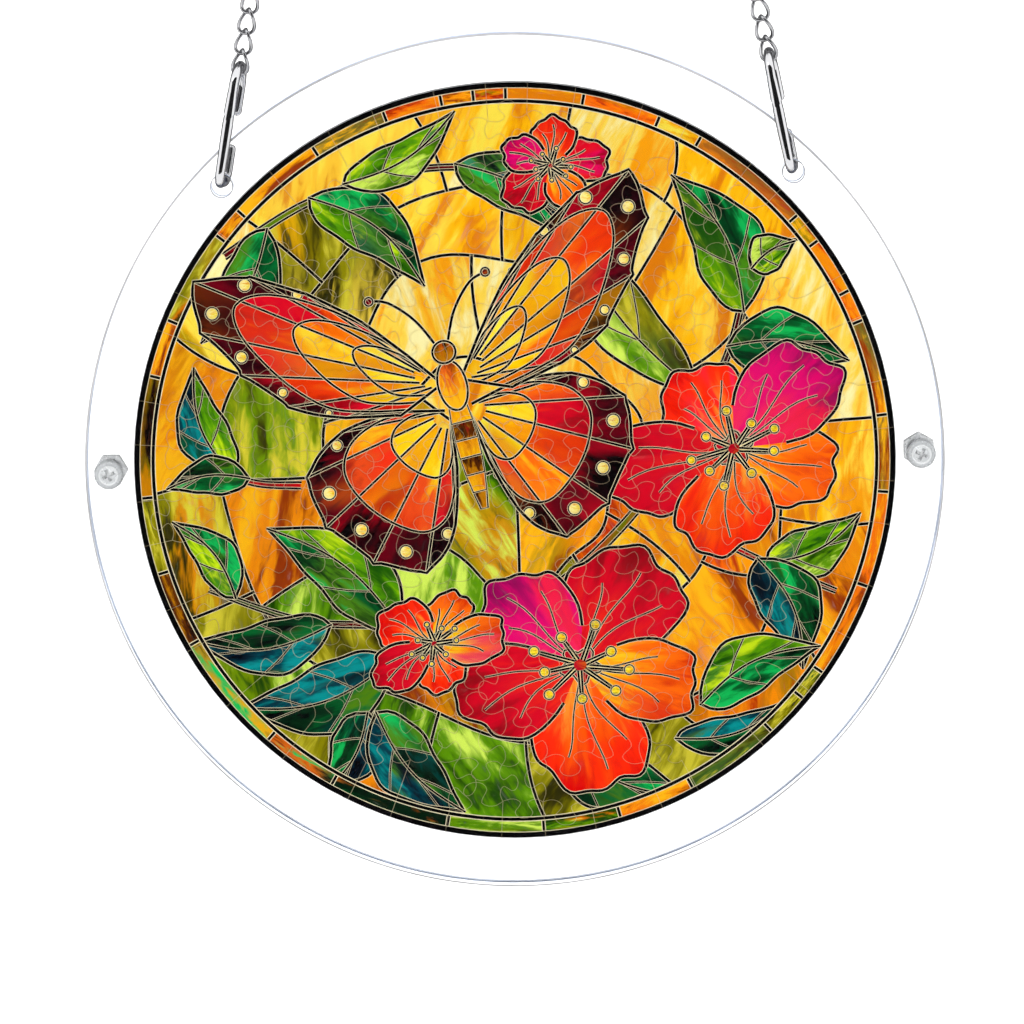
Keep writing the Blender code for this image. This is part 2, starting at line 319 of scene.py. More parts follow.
lamp = bpy.data.objects.new("soft_lamp", bpy.data.lights.new("soft_lamp", "AREA"))
bpy.context.scene.collection.objects.link(lamp)
lamp.data.shape = "DISK"
lamp.data.size = LAMP_SIZE
lamp.data.energy = LAMP_POWER
lamp.location = LAMP_PLACE
lamp.rotation_euler = (CENTRE - lamp.location).to_track_quat("-Z", "Y").to_euler()


def mirrored_paper(name, bm, color):
    """A stage piece that only mirrored rays can see, and its plain paper."""
    paper, tree, shader = new_finish(name, color, Roughness=0.9)
    light_path = add_node(tree, "ShaderNodeLightPath")
    mirrored = maths(tree, "GREATER_THAN", light_path.outputs["Glossy Depth"], 0.5)
    choice = add_node(tree, "ShaderNodeMixShader")
    tree.links.new(mirrored, choice.inputs["Fac"])
    tree.links.new(add_node(tree, "ShaderNodeBsdfTransparent").outputs[0], choice.inputs[1])
    tree.links.new(shader.outputs[0], choice.inputs[2])
    tree.links.new(choice.outputs[0], tree.nodes["Material Output"].inputs["Surface"])
    piece = object_from(name, bm, paper)
    piece.visible_camera = False
    piece.visible_diffuse = False
    piece.visible_shadow = False


bm = bmesh.new()
bmesh.ops.create_cone(bm, cap_ends=False, segments=64, radius1=BAND_RADIUS,
                      radius2=BAND_RADIUS, depth=BAND_WIDTH)
bmesh.ops.rotate(bm, verts=bm.verts, matrix=Matrix.Rotation(math.radians(90), 3, "Y"))
bmesh.ops.delete(bm, context="FACES", geom=[
    face for face in bm.faces
    if not -BAND_BELOW < face.calc_center_median().z < BAND_ABOVE])
bmesh.ops.translate(bm, verts=bm.verts, vec=(0, 0, CENTRE.z))
mirrored_paper("black_band", bm, (0.005, 0.005, 0.006))
bm = bmesh.new()
bmesh.ops.create_circle(bm, cap_ends=True, segments=48, radius=SHEET_SIZE)
bmesh.ops.rotate(bm, verts=bm.verts, matrix=Matrix.Rotation(math.radians(90), 3, "X"))
bmesh.ops.translate(bm, verts=bm.verts, vec=(0, SHEET_DISTANCE, CENTRE.z))
mirrored_paper("grey_sheet", bm, (0.10, 0.10, 0.105))
print("lamp and papers placed")

# %% [markdown]
# ## The picture: drawing the cartoon
#
# The jigsaw carries a picture in the manner of leaded glass: black lines with a fine cream
# edge, and streaky glass between them. A glazier first draws a full-size cartoon, and so does
# this script, in millimetres from the picture's middle. The motifs are plain ones: a
# butterfly, five-petalled blossoms, leaves and stems.
#
# Each drawn face goes into one list, in painter's order: what is drawn later lies on top.
# One call then cuts all the faces against each other, so the finished picture is a single
# flat sheet, like a real print, with nothing hidden underneath to flicker.

# %% The cartoon's lists
LEAD = (0.33, 0.13)                 # half the width of a black line, and its cream edge

corner_places = []                  # every drawn corner, as a 2-D vector
drawn_faces = []                    # the corners of every drawn face
drawn_looks = []                    # for each face: its order, its kind and its glass
GLASS, EDGING, LINE, CUT = range(4)


class Glass:
    """One sort of glass: its family, its three tones, and the way its streaks run."""

    def __init__(self, family, tones, origin=(0, 0), toward=(0, 30)):
        self.family = family
        self.tones = tones
        self.origin = Vector(origin)
        self.run = Vector(toward) - self.origin

    def lie(self, place):
        """Where a place lies in this glass: along the streaks, and across them."""
        way = place - self.origin
        size = self.run.length_squared
        return (way.dot(self.run) / size,
                (way.x * self.run.y - way.y * self.run.x) / size)


def add_corner(place):
    corner_places.append(Vector(place))
    return len(corner_places) - 1


def draw_face(corners, kind, glass=None):
    area = sum(corner_places[a].cross(corner_places[b])
               for a, b in zip(corners, corners[1:] + corners[:1]))
    if abs(area) < 1e-6:
        return
    drawn_faces.append(corners if area > 0 else corners[::-1])
    drawn_looks.append((kind, glass))


def draw_panel(outline, glass):
    draw_face([add_corner(place) for place in outline], GLASS, glass)


# %% [markdown]
# A black line is drawn like a ladder: two rails for the black, two more for its cream edges,
# and a rung at each point. Neighbouring steps share their rung, so there are no gaps.

# %% Lines
def along_line(line, closed=False):
    """The unit direction at each point of a line."""
    count = len(line)
    ways = []
    for i in range(count):
        before = line[i - 1] if closed or i else line[i]
        after = line[(i + 1) % count] if closed or i < count - 1 else line[i]
        ways.append((after - before).normalized())
    return ways


def draw_ladder(line, rails, kinds, closed=False):
    ways = along_line(line, closed)
    rungs = []
    for place, way in zip(line, ways):
        across = Vector((-way.y, way.x))
        rungs.append([add_corner(place + across * rail) for rail in rails])
    for rung, following in zip(rungs, rungs[1:] + (rungs[:1] if closed else [])):
        for step, kind in enumerate(kinds):
            draw_face([rung[step], rung[step + 1], following[step + 1], following[step]],
                      kind)


def draw_lead(line, lead=LEAD, closed=False):
    half, edge = lead
    if not closed:
        ways = along_line(line)
        line = [line[0] - ways[0] * half * 0.8] + line[1:-1] + [line[-1] + ways[-1] * half * 0.8]
    draw_ladder(line, (half + edge, half, -half, -half - edge), (EDGING, LINE, EDGING), closed)


def smooth_line(points, step=1.2, closed=False):
    """A Catmull-Rom curve through the points, with a point about every step."""
    points = [Vector(point) for point in points]
    count = len(points)
    line = []
    for i in range(count if closed else count - 1):
        a, b, c, d = (points[(i + k) % count if closed else min(max(i + k, 0), count - 1)]
                      for k in (-1, 0, 1, 2))
        parts = max(2, round((c - b).length / step))
        for part in range(parts):
            t = part / parts
            line.append(0.5 * (2 * b + (c - a) * t + (2 * a - 5 * b + 4 * c - d) * t * t
                               + (3 * b - a - 3 * c + d) * t ** 3))
    if not closed:
        line.append(points[-1])
    return line


def ray(turn):
    """The unit vector in one direction."""
    return Vector((math.cos(turn), math.sin(turn)))


def turns(count, start=0.0):
    """Directions spread evenly over a full turn."""
    return [start + math.tau * i / count for i in range(count)]


def around(middle, radius, start=0.0, end=math.tau, count=24):
    """Points on an arc round the middle; a full turn leaves the last point out."""
    last = count if abs(end - start) < math.tau - 1e-6 else count - 1
    return [Vector(middle) + radius * ray(start + (end - start) * i / count)
            for i in range(last + 1)]


# %% [markdown]
# ### Tones of glass
#
# Opalescent glass is never one colour. Each sort has a deep, a middle and a light tone, and
# the finish later streaks them into each other.

# %% Tones
def tones(deep, middle, light):
    return tuple(shade(code) for code in (deep, middle, light))


CREAM = tones("FFA400", "FFD84A", "FFF4AC")
YELLOW = tones("E07C00", "FFBA00", "FFE448")
AMBER = tones("963400", "F08A00", "FFBA10")
ORANGE = tones("B82800", "F86800", "FF9400")
OLIVE = tones("343000", "8C8600", "D8CC34")
LIME = tones("1C4600", "5C9600", "D8F45C")
BROWN = tones("1E0500", "5D2900", "C87F00")
EMERALD = tones("001E0A", "005C25", "10C058")
FOREST = tones("000A07", "002E13", "00662C")
TEAL = tones("00071A", "003A48", "009494")
FRESH = tones("0F4D00", "579D00", "D0EC15")
BARK = tones("210003", "620009", "CC000F")
CRIMSON = tones("94000E", "E00021", "FF2910")
MAGENTA = tones("980056", "EE0070", "FF2960")
CORAL = tones("DC0000", "FF2700", "FFB038")
BLAZE = tones("DC2D00", "FF6B00", "FFD81A")
SUN = tones("F09000", "FFCF00", "FFF040")
GOLD = tones("C46C00", "F09D00", "FFC406")
FLAME = tones("BE1000", "EE3600", "FF7900")
WINE = tones("2B0008", "640011", "C0001F")
MAROON = tones("080002", "240007", "5F0013")
PALE = tones("E6AC00", "F8DC44", "FFF098")
print("22 sorts of glass")

# %% [markdown]
# ### The ground
#
# Behind the motifs the ground is broken into panels, as a glazier must, because a large sheet
# would crack. Wavy rings and staggered spokes between them give panels of a natural size.
# Their tones are chosen later by where each panel lies.

# %% Ground and its lines
PICTURE_RADIUS = 84.2
RING_RADII = (27.0, 47.0, 66.0)
RING_POINTS = 140
SLOW_WAVE, QUICK_WAVE = 3.4, 1.6
SPOKES = (5, 8, 12, 15)

dice = random.Random(7)
ground = Glass("ground", AMBER)
draw_panel(around((0, 0), PICTURE_RADIUS + 0.5, count=120), ground)


def ring_radius(ring, turn):
    """How far out a wavy ring lies in one direction. The outermost is the picture's edge."""
    if ring >= len(RING_RADII):
        return PICTURE_RADIUS + 0.6
    if ring < 0:
        return 6.0
    return (RING_RADII[ring] + SLOW_WAVE * math.sin(3 * turn + 2.1 * ring)
            + QUICK_WAVE * math.sin(7 * turn))


for ring in range(len(RING_RADII)):
    draw_lead([ring_radius(ring, turn) * ray(turn) for turn in turns(RING_POINTS)],
              closed=True)
for ring, spokes in enumerate(SPOKES):
    for spoke in range(spokes):
        start = math.tau * (spoke + 0.5 * ring + dice.uniform(-0.25, 0.25)) / spokes
        swing = dice.uniform(-0.12, 0.12)
        inner, outer = ring_radius(ring - 1, start), ring_radius(ring, start + swing)
        draw_lead([(inner + (outer - inner) * t) * ray(start + swing * t * t)
                   for t in (i / 12 for i in range(13))])
print(len(drawn_faces), "faces drawn for the ground")

# %% [markdown]
# ### Leaves and stems
#
# A leaf is two panels on a bent midrib. Its half-width follows a sine of the way along, which
# is blunt at the stalk and pointed at the tip. Two side veins leave the midrib on each side.
# A stem is a band that tapers along a smooth line.

# %% Leaves and stems
SIDE_VEINS = 2
VEIN_LEAD = (0.17, 0.08)
RIB_LEAD = (0.24, 0.1)


def draw_leaf(base, tip, width, bend, near, far):
    """near and far are the tones of its two halves. bend is a share of its length."""
    base, tip = Vector(base), Vector(tip)
    run = tip - base
    across = Vector((-run.y, run.x)).normalized()
    count = max(14, round(run.length / 1.5))
    shares = [i / count for i in range(count + 1)]
    midrib = [base + run * t + across * bend * run.length * math.sin(math.pi * t)
              for t in shares]
    sides = {}
    for side, half_tones in ((1, near), (-1, far)):
        edge = [place + across * side * width / 2 * math.sin(math.pi * t ** 0.72)
                * (1 + 0.04 * math.sin(19 * t + side))
                for place, t in zip(midrib, shares)]
        sides[side] = edge
        leaf_glass = Glass("leaf", half_tones, base, tip)
        draw_panel(midrib + edge[-2:0:-1], leaf_glass)
    for side, edge in sides.items():
        for vein in range(SIDE_VEINS):
            start = (vein + 0.9) / (SIDE_VEINS + 1.2)
            root = midrib[round(start * count)]
            end = edge[min(count - 1, round((start + 0.24) * count))]
            draw_lead(smooth_line([root, root.lerp(end, 0.5) - run * 0.015, end]), VEIN_LEAD)
        draw_lead(edge)
    draw_lead(midrib, RIB_LEAD)


def draw_stem(points, start_width, end_width, stem_tones=BARK):
    line = smooth_line(points, 1.6)
    ways = along_line(line)
    last = len(line) - 1
    sides = []
    for side in (1, -1):
        sides.append([place + Vector((-way.y, way.x)) * side / 2
                      * (start_width + (end_width - start_width) * i / last)
                      for i, (place, way) in enumerate(zip(line, ways))])
    draw_panel(sides[0] + sides[1][::-1], Glass("leaf", stem_tones, line[0], line[-1]))
    for edge in sides:
        draw_lead(edge, RIB_LEAD)


# %% [markdown]
# ### Blossoms
#
# One petal is a fan: from the blossom's heart its edge lies farthest out in the middle and
# runs back to the heart at both sides, which a cosine to a small power gives. A slow ripple
# ruffles the edge. Five of them overlap, and the whole blossom can be tipped by squashing it.

# %% Blossoms
PETAL_SPREAD = math.radians(47)
PETAL_STEPS = 44
STAMENS = 9
FOLD_LEAD = (0.17, 0.09)
THROAT_LEAD = (0.2, 0.15)
BEAD_LEAD = (0.15, 0.1)


def draw_blossom(centre, radius, turn, squash, lean, petal_tones):
    """A five-petalled blossom, `squash` as tall as wide, leaning towards `lean`."""
    centre = Vector(centre)
    tip_over = Matrix.Rotation(lean, 2)

    def place(angle, distance):
        flat = Vector((math.cos(angle) * distance, math.sin(angle) * distance * squash))
        return centre + tip_over @ flat

    for petal in (0, 3, 1, 4, 2):
        middle = turn + math.tau * petal / 5
        size = radius * (0.94 + 0.1 * math.sin(2.3 * petal + radius))
        edge = []
        for i in range(PETAL_STEPS + 1):
            angle = PETAL_SPREAD * (2 * i / PETAL_STEPS - 1)
            fullness = max(0.0, math.cos(angle / PETAL_SPREAD * math.pi / 2)) ** 0.36
            ruffle = 1 + 0.035 * math.sin(11 * angle + petal) + 0.02 * math.sin(23 * angle)
            edge.append(place(middle + angle, size * fullness * ruffle))
        petal_glass = Glass("petal", petal_tones[petal % len(petal_tones)], centre,
                            place(middle, size))
        draw_panel(edge[1:-1] + [centre], petal_glass)
        for offset, reach in ((-0.3, 0.74), (0.06, 0.84), (0.36, 0.66)):
            fold = [place(middle + PETAL_SPREAD * offset * (0.4 + 0.75 * t)
                          + 0.06 * math.sin(5 * t + petal), size * reach * t)
                    for t in (0.14 + 0.86 * i / 9 for i in range(10))]
            draw_lead(fold, FOLD_LEAD)
        draw_lead(edge[1:-1])
    draw_heart(place, radius)


def draw_heart(place, radius):
    """The dark throat, with a ring of pale stamens round it."""
    throat = [place(turn, radius * (0.13 + 0.03 * math.cos(5 * turn))) for turn in turns(30)]
    draw_panel(throat, Glass("petal", WINE, place(0, 0), throat[0]))
    draw_lead(throat, THROAT_LEAD, closed=True)
    for stamen in range(STAMENS):
        angle = math.tau * (stamen + 0.2 * math.sin(5 * stamen)) / STAMENS
        reach = radius * (0.30 + 0.05 * math.cos(3 * stamen))
        root, head = place(angle, radius * 0.05), place(angle + 0.1, reach)
        draw_stem([root, root.lerp(head, 0.5), head], 0.8, 0.5, PALE)
        bead = around(head, radius * 0.036, count=12)
        draw_panel(bead, Glass("leaf", SUN, head, bead[0]))
        draw_lead(bead, BEAD_LEAD, closed=True)


# %% [markdown]
# ### The butterfly
#
# A wing is drawn from its outer edge: a few points give its outline, and rays from the wing's
# root cut it into cells. Three shares of the way out give the inner, the middle and the
# margin cells, from yellow through orange and red to a maroon band with pale spots.

# %% Wings
CELL_STEPS = 8                      # rays across one cell
SCALLOP = 0.035
CELL_LEAD = (0.25, 0.12)
SPOT_LEAD = (0.16, 0.1)


def wing_cells(root, outline, cells, shares, at):
    """The corners of a wing: rows of points on rays, for each share of the way out."""
    rows = []
    fine = smooth_line(outline, 0.8)
    steps = cells * CELL_STEPS
    for i in range(steps + 1):
        place = fine[min(len(fine) - 1, round(i / steps * (len(fine) - 1)))]
        scallop = 1 - SCALLOP * abs(math.sin(math.pi * i / CELL_STEPS)) ** 0.5 + SCALLOP
        way = place - root
        rows.append([at(root + way * share * (scallop if share > 0.9 else 1.0))
                     for share in shares])
    return rows


def draw_wing(at, root, outline, cells, bands):
    """bands gives each band's outer share and its glass tones, from the root outwards."""
    root = Vector(root)
    shares = [0.12] + [share for share, _ in bands]
    rows = wing_cells(root, outline, cells, shares, at)
    for band, (_, band_tones) in enumerate(bands):
        for cell in range(cells):
            part = rows[cell * CELL_STEPS:(cell + 1) * CELL_STEPS + 1]
            inner = [row[band] for row in part]
            outer = [row[band + 1] for row in part]
            middle = part[CELL_STEPS // 2]
            kind = band_tones[cell % len(band_tones)]
            draw_panel(outer + inner[::-1], Glass("wing", kind, middle[0], middle[-1]))
    margin = len(bands)
    for cell in range(cells):
        inner, outer = rows[cell * CELL_STEPS + CELL_STEPS // 2][margin - 1:]
        if (outer - inner).length > 3.0:
            spot = inner.lerp(outer, 0.56)
            size = 0.17 * (outer - inner).length
            bead = around(spot, min(1.5, size), count=14)
            draw_panel(bead, Glass("wing", PALE, spot, bead[0]))
            draw_lead(bead, SPOT_LEAD, closed=True)
    for cell in range(1, cells):
        draw_lead(rows[cell * CELL_STEPS], CELL_LEAD)
    for band in range(1, margin):
        draw_lead([row[band] for row in rows], CELL_LEAD)
    draw_lead(rows[0] + [row[margin] for row in rows[1:-1]] + rows[-1][::-1])


# %% The whole butterfly
BODY_BANDS = 6
BODY_TAIL, BODY_WAIST = -27.0, 0.0
FEELER_LEAD = (0.3, 0.15)
BAND_LEAD = (0.2, 0.12)
BODY_LEAD = (0.25, 0.15)


def draw_butterfly(centre, turn, scale):
    spin = Matrix.Rotation(turn, 2)

    def at(place, side=1):
        return Vector(centre) + spin @ Vector((place[0] * side, place[1])) * scale

    hind = [(15, 2), (27, 1), (37, -4), (41, -13), (37, -24), (29, -33), (20, -38), (12, -35),
            (7, -26), (4, -15)]
    fore = [(9, 15), (20, 28), (34, 39), (47, 45), (56, 44), (57, 36), (52, 25), (45, 15),
            (36, 7), (24, 3), (14, 1)]
    for side in (-1, 1):
        def on_side(place):
            return at(place, side)
        draw_wing(on_side, (2.2, -1), hind, 7,
                  [(0.42, (SUN, GOLD)), (0.76, (FLAME, BLAZE, CRIMSON)), (1.0, (WINE, MAROON))])
        draw_wing(on_side, (2.4, 6), fore, 9,
                  [(0.36, (GOLD, SUN)), (0.60, (BLAZE, SUN, GOLD)),
                   (0.84, (FLAME, CRIMSON)), (1.0, (MAROON, WINE))])
    draw_body(at)


def draw_body(at):
    """Abdomen in bands, thorax, head and two feelers."""
    for side in (-1, 1):
        feeler = smooth_line([at((1.2 * side, 15)), at((5 * side, 23)), at((10.5 * side, 29)),
                              at((15 * side, 30.5))])
        draw_lead(feeler, FEELER_LEAD)
        tip = around(feeler[-1], 1.0, count=12)
        draw_panel(tip, Glass("wing", MAROON, feeler[-1], tip[0]))
        draw_lead(tip, BAND_LEAD, closed=True)
    for band in range(BODY_BANDS):
        ends = [BODY_TAIL + (BODY_WAIST - BODY_TAIL) * (band + k) / BODY_BANDS for k in (0, 1)]
        widths = [2.9 * math.sin(math.pi * (0.10 + 0.62 * (band + k) / BODY_BANDS))
                  for k in (0, 1)]
        corners = [at((-widths[0], ends[0])), at((widths[0], ends[0])),
                   at((widths[1], ends[1])), at((-widths[1], ends[1]))]
        kind = (BROWN, GOLD)[band % 2]
        draw_panel(corners, Glass("wing", kind, at((0, ends[0])), at((0, ends[1]))))
        draw_lead(corners, BAND_LEAD, closed=True)
    for middle, wide, tall, kind in (((0, 5), 3.6, 6.4, AMBER), ((0, 13.6), 2.9, 2.8, BROWN)):
        oval = [at((middle[0] + wide * math.cos(turn), middle[1] + tall * math.sin(turn)))
                for turn in turns(28)]
        draw_panel(oval, Glass("wing", kind, at(middle), at((0, middle[1] + tall))))
        draw_lead(oval, BODY_LEAD, closed=True)


# %% [markdown]
# ### Putting the picture together
#
# The order of the calls is the order of the paint: stems and leaves first, then the border,
# so that petals and wing tips can lie over it, and the black outer ring last.

# %% Stems and leaves in place
draw_stem([(2, -34), (18, -22), (34, -4), (50, 24), (56, 50)], 2.0, 1.2)
draw_stem([(30, -8), (52, -22), (74, -32)], 1.6, 1.0)
draw_stem([(-4, -44), (-26, -38), (-50, -36), (-72, -28)], 1.8, 1.0)
draw_stem([(-24, -39), (-34, -54), (-38, -70)], 1.4, 0.9)
draw_stem([(-66, 50), (-46, 62), (-20, 69), (8, 68)], 1.6, 1.1)
draw_stem([(-50, -4), (-64, -2), (-78, 10)], 1.5, 0.9)
for leaf in (
    ((50, 26), (78, 22), 15, 0.10, EMERALD, FOREST),
    ((54, 34), (38, 66), 17, -0.12, FRESH, EMERALD),
    ((56, 44), (66, 50), 9, 0.10, LIME, FRESH),
    ((42, 16), (12, 66), 15, 0.10, LIME, OLIVE),
    ((58, -25), (80, -14), 12, -0.12, FRESH, LIME),
    ((56, -24), (66, -50), 15, 0.12, EMERALD, TEAL),
    ((-28, -38), (-58, -14), 17, -0.10, EMERALD, FRESH),
    ((-44, -37), (-76, -40), 13, 0.12, TEAL, FOREST),
    ((-30, -46), (-66, -56), 17, 0.12, FOREST, TEAL),
    ((-36, -58), (-46, -76), 13, 0.10, TEAL, EMERALD),
    ((-34, -58), (-14, -82), 15, -0.10, EMERALD, TEAL),
    ((6, -60), (40, -80), 17, -0.14, EMERALD, FOREST),
    ((-66, -30), (-80, -12), 10, -0.12, FRESH, EMERALD),
    ((-46, 63), (-20, 42), 14, 0.12, EMERALD, FRESH),
    ((-38, 66), (-12, 82), 10, -0.10, FRESH, LIME),
    ((-56, 56), (-72, 30), 13, 0.10, FOREST, EMERALD),
    ((-12, 70), (14, 52), 13, 0.12, TEAL, EMERALD),
    ((-66, -1), (-74, 24), 12, 0.12, TEAL, FRESH),
    ((-62, -2), (-81, -4), 9, -0.10, EMERALD, FOREST),
    ((42, -58), (70, -45), 14, 0.12, FRESH, EMERALD),
    ((36, -66), (62, -58), 9, -0.12, TEAL, FOREST),
):
    draw_leaf(*leaf)
print(len(drawn_faces), "faces drawn with the leaves")

# %% [markdown]
# The border is a ring of short glass strips between two black rings. The strips' lengths
# vary, and their tones drift round the ring: orange at the top, amber and gold at the sides,
# greens at the foot.

# %% Border
BORDER_INNER = PICTURE_RADIUS
BORDER_OUTER = 87.3
BORDER_END = math.radians(-270)
JOINT_LEAD = (0.32, 0.18)
RING_LEAD = (0.38, 0.2)

border_tones = ((90, (ORANGE, YELLOW)), (50, (ORANGE, AMBER)), (10, (AMBER, OLIVE)),
                (-30, (OLIVE, AMBER)), (-65, (LIME, EMERALD)), (-110, (EMERALD, LIME)),
                (-150, (OLIVE, BROWN)), (-190, (AMBER, OLIVE)), (-235, (AMBER, ORANGE)))


def draw_strip(ends, strip_tones):
    """One strip of border glass between two directions."""
    outline = (around((0, 0), BORDER_INNER, *ends, count=12)
               + around((0, 0), BORDER_OUTER + 0.4, *ends, count=12)[::-1])
    draw_panel(outline, Glass("border", strip_tones, outline[0], outline[12]))


dice = random.Random(11)
turn = math.radians(90)
joints = []
while turn > math.radians(-262):
    length = math.radians(dice.choice((5, 7, 9, 12, 15, 19)))
    ends = (max(turn - length, BORDER_END), turn)
    degrees = math.degrees(turn)
    pair = [kinds for limit, kinds in border_tones if degrees <= limit][-1]
    draw_strip(ends, dice.choice(pair))
    joints.append(ends[0])
    turn = ends[0]
draw_strip((BORDER_END, turn), ORANGE)
for turn in joints + [BORDER_END]:
    way = ray(turn)
    draw_lead([way * BORDER_INNER, way * (BORDER_INNER + 1.5), way * (BORDER_OUTER + 0.3)],
              JOINT_LEAD)
draw_lead(around((0, 0), BORDER_INNER, count=220), RING_LEAD, closed=True)
print(len(joints) + 1, "strips in the border")

# %% Blossoms and butterfly in place
draw_blossom((51, 2), 30, math.radians(100), 0.86, math.radians(20),
             (CORAL, CRIMSON, CORAL, BLAZE, MAGENTA))
draw_blossom((14, -48), 33, math.radians(70), 0.88, math.radians(-12),
             (CRIMSON, MAGENTA, CRIMSON, CORAL, BLAZE))
draw_blossom((-20, -42), 17, math.radians(40), 0.80, math.radians(30),
             (BLAZE, CORAL, CRIMSON, CORAL, BLAZE))
draw_blossom((10, 69), 13.5, math.radians(20), 0.9, math.radians(-10),
             (CRIMSON, CORAL, MAGENTA, CRIMSON, BLAZE))
draw_butterfly((-13, 14), math.radians(13), 0.93)
draw_ladder(around((0, 0), PUZZLE_RADIUS / MM - 0.9, count=RIM_STEPS),
            (0.60, 0.45, -1.0), (EDGING, LINE), closed=True)
print(len(drawn_faces), "faces drawn in all")

# %% [markdown]
# ### The jigsaw cuts
#
# A laser cuts the printed disc into pieces. The pieces' corners lie on a slightly disturbed
# grid, each side between two corners has one knob, and at the rim the cuts run straight out.
# A cut is drawn as a narrow ladder too, but it doesn't hide what it crosses.

# %% Jigsaw cuts
CUT_HALF = 0.1
CUT_PITCH = 10.8
CORNER_SHIFT = 1.3                  # how far a corner may stray from the grid
CUT_REACH = PUZZLE_RADIUS / MM - 0.12
KNOB = ((0, 0), (0.15, -0.06), (0.30, -0.05), (0.41, 0.03), (0.36, 0.14), (0.28, 0.26),
        (0.34, 0.38), (0.5, 0.43), (0.66, 0.38), (0.72, 0.26), (0.64, 0.14), (0.59, 0.03),
        (0.70, -0.05), (0.85, -0.06), (1, 0))

dice = random.Random(23)
grid = {}
reach = math.ceil(CUT_REACH / CUT_PITCH)
for column in range(-reach, reach + 1):
    for row in range(-reach, reach + 1):
        grid[column, row] = Vector([(count + 0.5) * CUT_PITCH
                                    + dice.uniform(-CORNER_SHIFT, CORNER_SHIFT)
                                    for count in (column, row)])
inside = {key for key, place in grid.items() if place.length < CUT_REACH - 0.45 * CUT_PITCH}


def knob_line(start, end):
    run = end - start
    across = Vector((-run.y, run.x)) * dice.choice((-1, 1))
    shift = dice.uniform(-0.06, 0.06)
    points = [start + run * (s + (shift if 0 < s < 1 else 0)) + across * h for s, h in KNOB]
    return smooth_line(points, 1.0)


cut_lines = []
for key in sorted(inside):
    for step in ((1, 0), (0, 1), (-1, 0), (0, -1)):
        other = (key[0] + step[0], key[1] + step[1])
        if other in inside:
            if key < other:
                cut_lines.append(knob_line(grid[key], grid[other]))
        else:
            start = grid[key]
            rim = start.normalized() * CUT_REACH
            cut_lines.append([start.lerp(rim, t / 6) for t in range(7)])
            break
for line in cut_lines:
    draw_ladder(line, (CUT_HALF, -CUT_HALF), (CUT,))
print(len(cut_lines), "cuts")

# %% [markdown]
# ## From cartoon to puzzle
#
# `delaunay_2d_cdt` takes all the drawn faces at once, finds where they cross, and returns
# small triangles that each know which drawn faces cover them. The last drawn one wins, just
# as the last coat of paint does. Cuts are kept apart, so a cut still knows its colour.

# %% Cutting the drawing into one sheet
RIM_CHAMFER = 0.15                  # the laser leaves the edge slightly rounded

rim = around((0, 0), PUZZLE_RADIUS / MM - RIM_CHAMFER, count=RIM_STEPS)
drawn_faces.append([add_corner(place) for place in rim])
drawn_looks.append((GLASS, None))
rim_face = len(drawn_faces) - 1
places, _, triangles, _, _, covers = delaunay_2d_cdt(
    corner_places, [], drawn_faces, 1, 1e-4, True)
print(len(places), "corners and", len(triangles), "triangles")

# %% [markdown]
# Now the sheet becomes a bmesh. Its triangles are grouped by look, and `dissolve_limit`
# merges those that share one, which drops the points where hidden lines crossed. Seams mark
# the edges between two looks, so nothing merges across them.

# %% One clean sheet
bm = bmesh.new()
face_glass = bm.faces.layers.int.new("glass")       # which drawn face is on top
face_cut = bm.faces.layers.float.new("cut")
seed_layer = bm.faces.layers.float.new("seed")
tone_layers = [bm.faces.layers.float_color.new(name)
               for name in ("deep", "middle", "light", "stray")]
run_layer = bm.loops.layers.uv.new("run")
FAMILIES = ("ground", "petal", "leaf", "wing", "border")
LEAD_SLOT, EDGING_SLOT = len(FAMILIES), len(FAMILIES) + 1

sheet_corners = [bm.verts.new((x * MM, 0, z * MM)) for x, z in places]
for triangle, cover in zip(triangles, covers):
    if rim_face not in cover:
        continue
    face = bm.faces.new([sheet_corners[corner] for corner in triangle])
    coats = [drawn for drawn in cover if drawn != rim_face and drawn_looks[drawn][0] != CUT]
    top = max(coats) if coats else -1
    kind, glass = drawn_looks[top] if coats else (LINE, None)
    face[face_glass] = top if kind == GLASS else -1
    face[face_cut] = float(any(drawn_looks[drawn][0] == CUT for drawn in cover))
    face.material_index = {GLASS: FAMILIES.index(glass.family) if glass else 0,
                           LINE: LEAD_SLOT, EDGING: EDGING_SLOT}[kind]
bmesh.ops.delete(bm, geom=[v for v in bm.verts if not v.link_faces], context="VERTS")
for edge in bm.edges:
    if len(edge.link_faces) == 2:
        one, two = edge.link_faces
        edge.seam = (one[face_glass] != two[face_glass] or one[face_cut] != two[face_cut]
                     or one.material_index != two.material_index)
before = len(bm.faces)
bmesh.ops.dissolve_limit(bm, angle_limit=math.radians(1.5), use_dissolve_boundaries=False,
                         verts=bm.verts, edges=bm.edges, delimit={"SEAM", "MATERIAL"})
print(before, "triangles merged into", len(bm.faces), "faces")

# %% [markdown]
# A lead line can divide one drawn shape into several panes of glass, and the ground into
# dozens. Walking from face to face without crossing a line finds each pane. Every pane gets
# its own seed, so that no two have the same streaks, and a ground pane gets its tones by
# where it lies: pale and warm above, amber at the right, olive and green below.

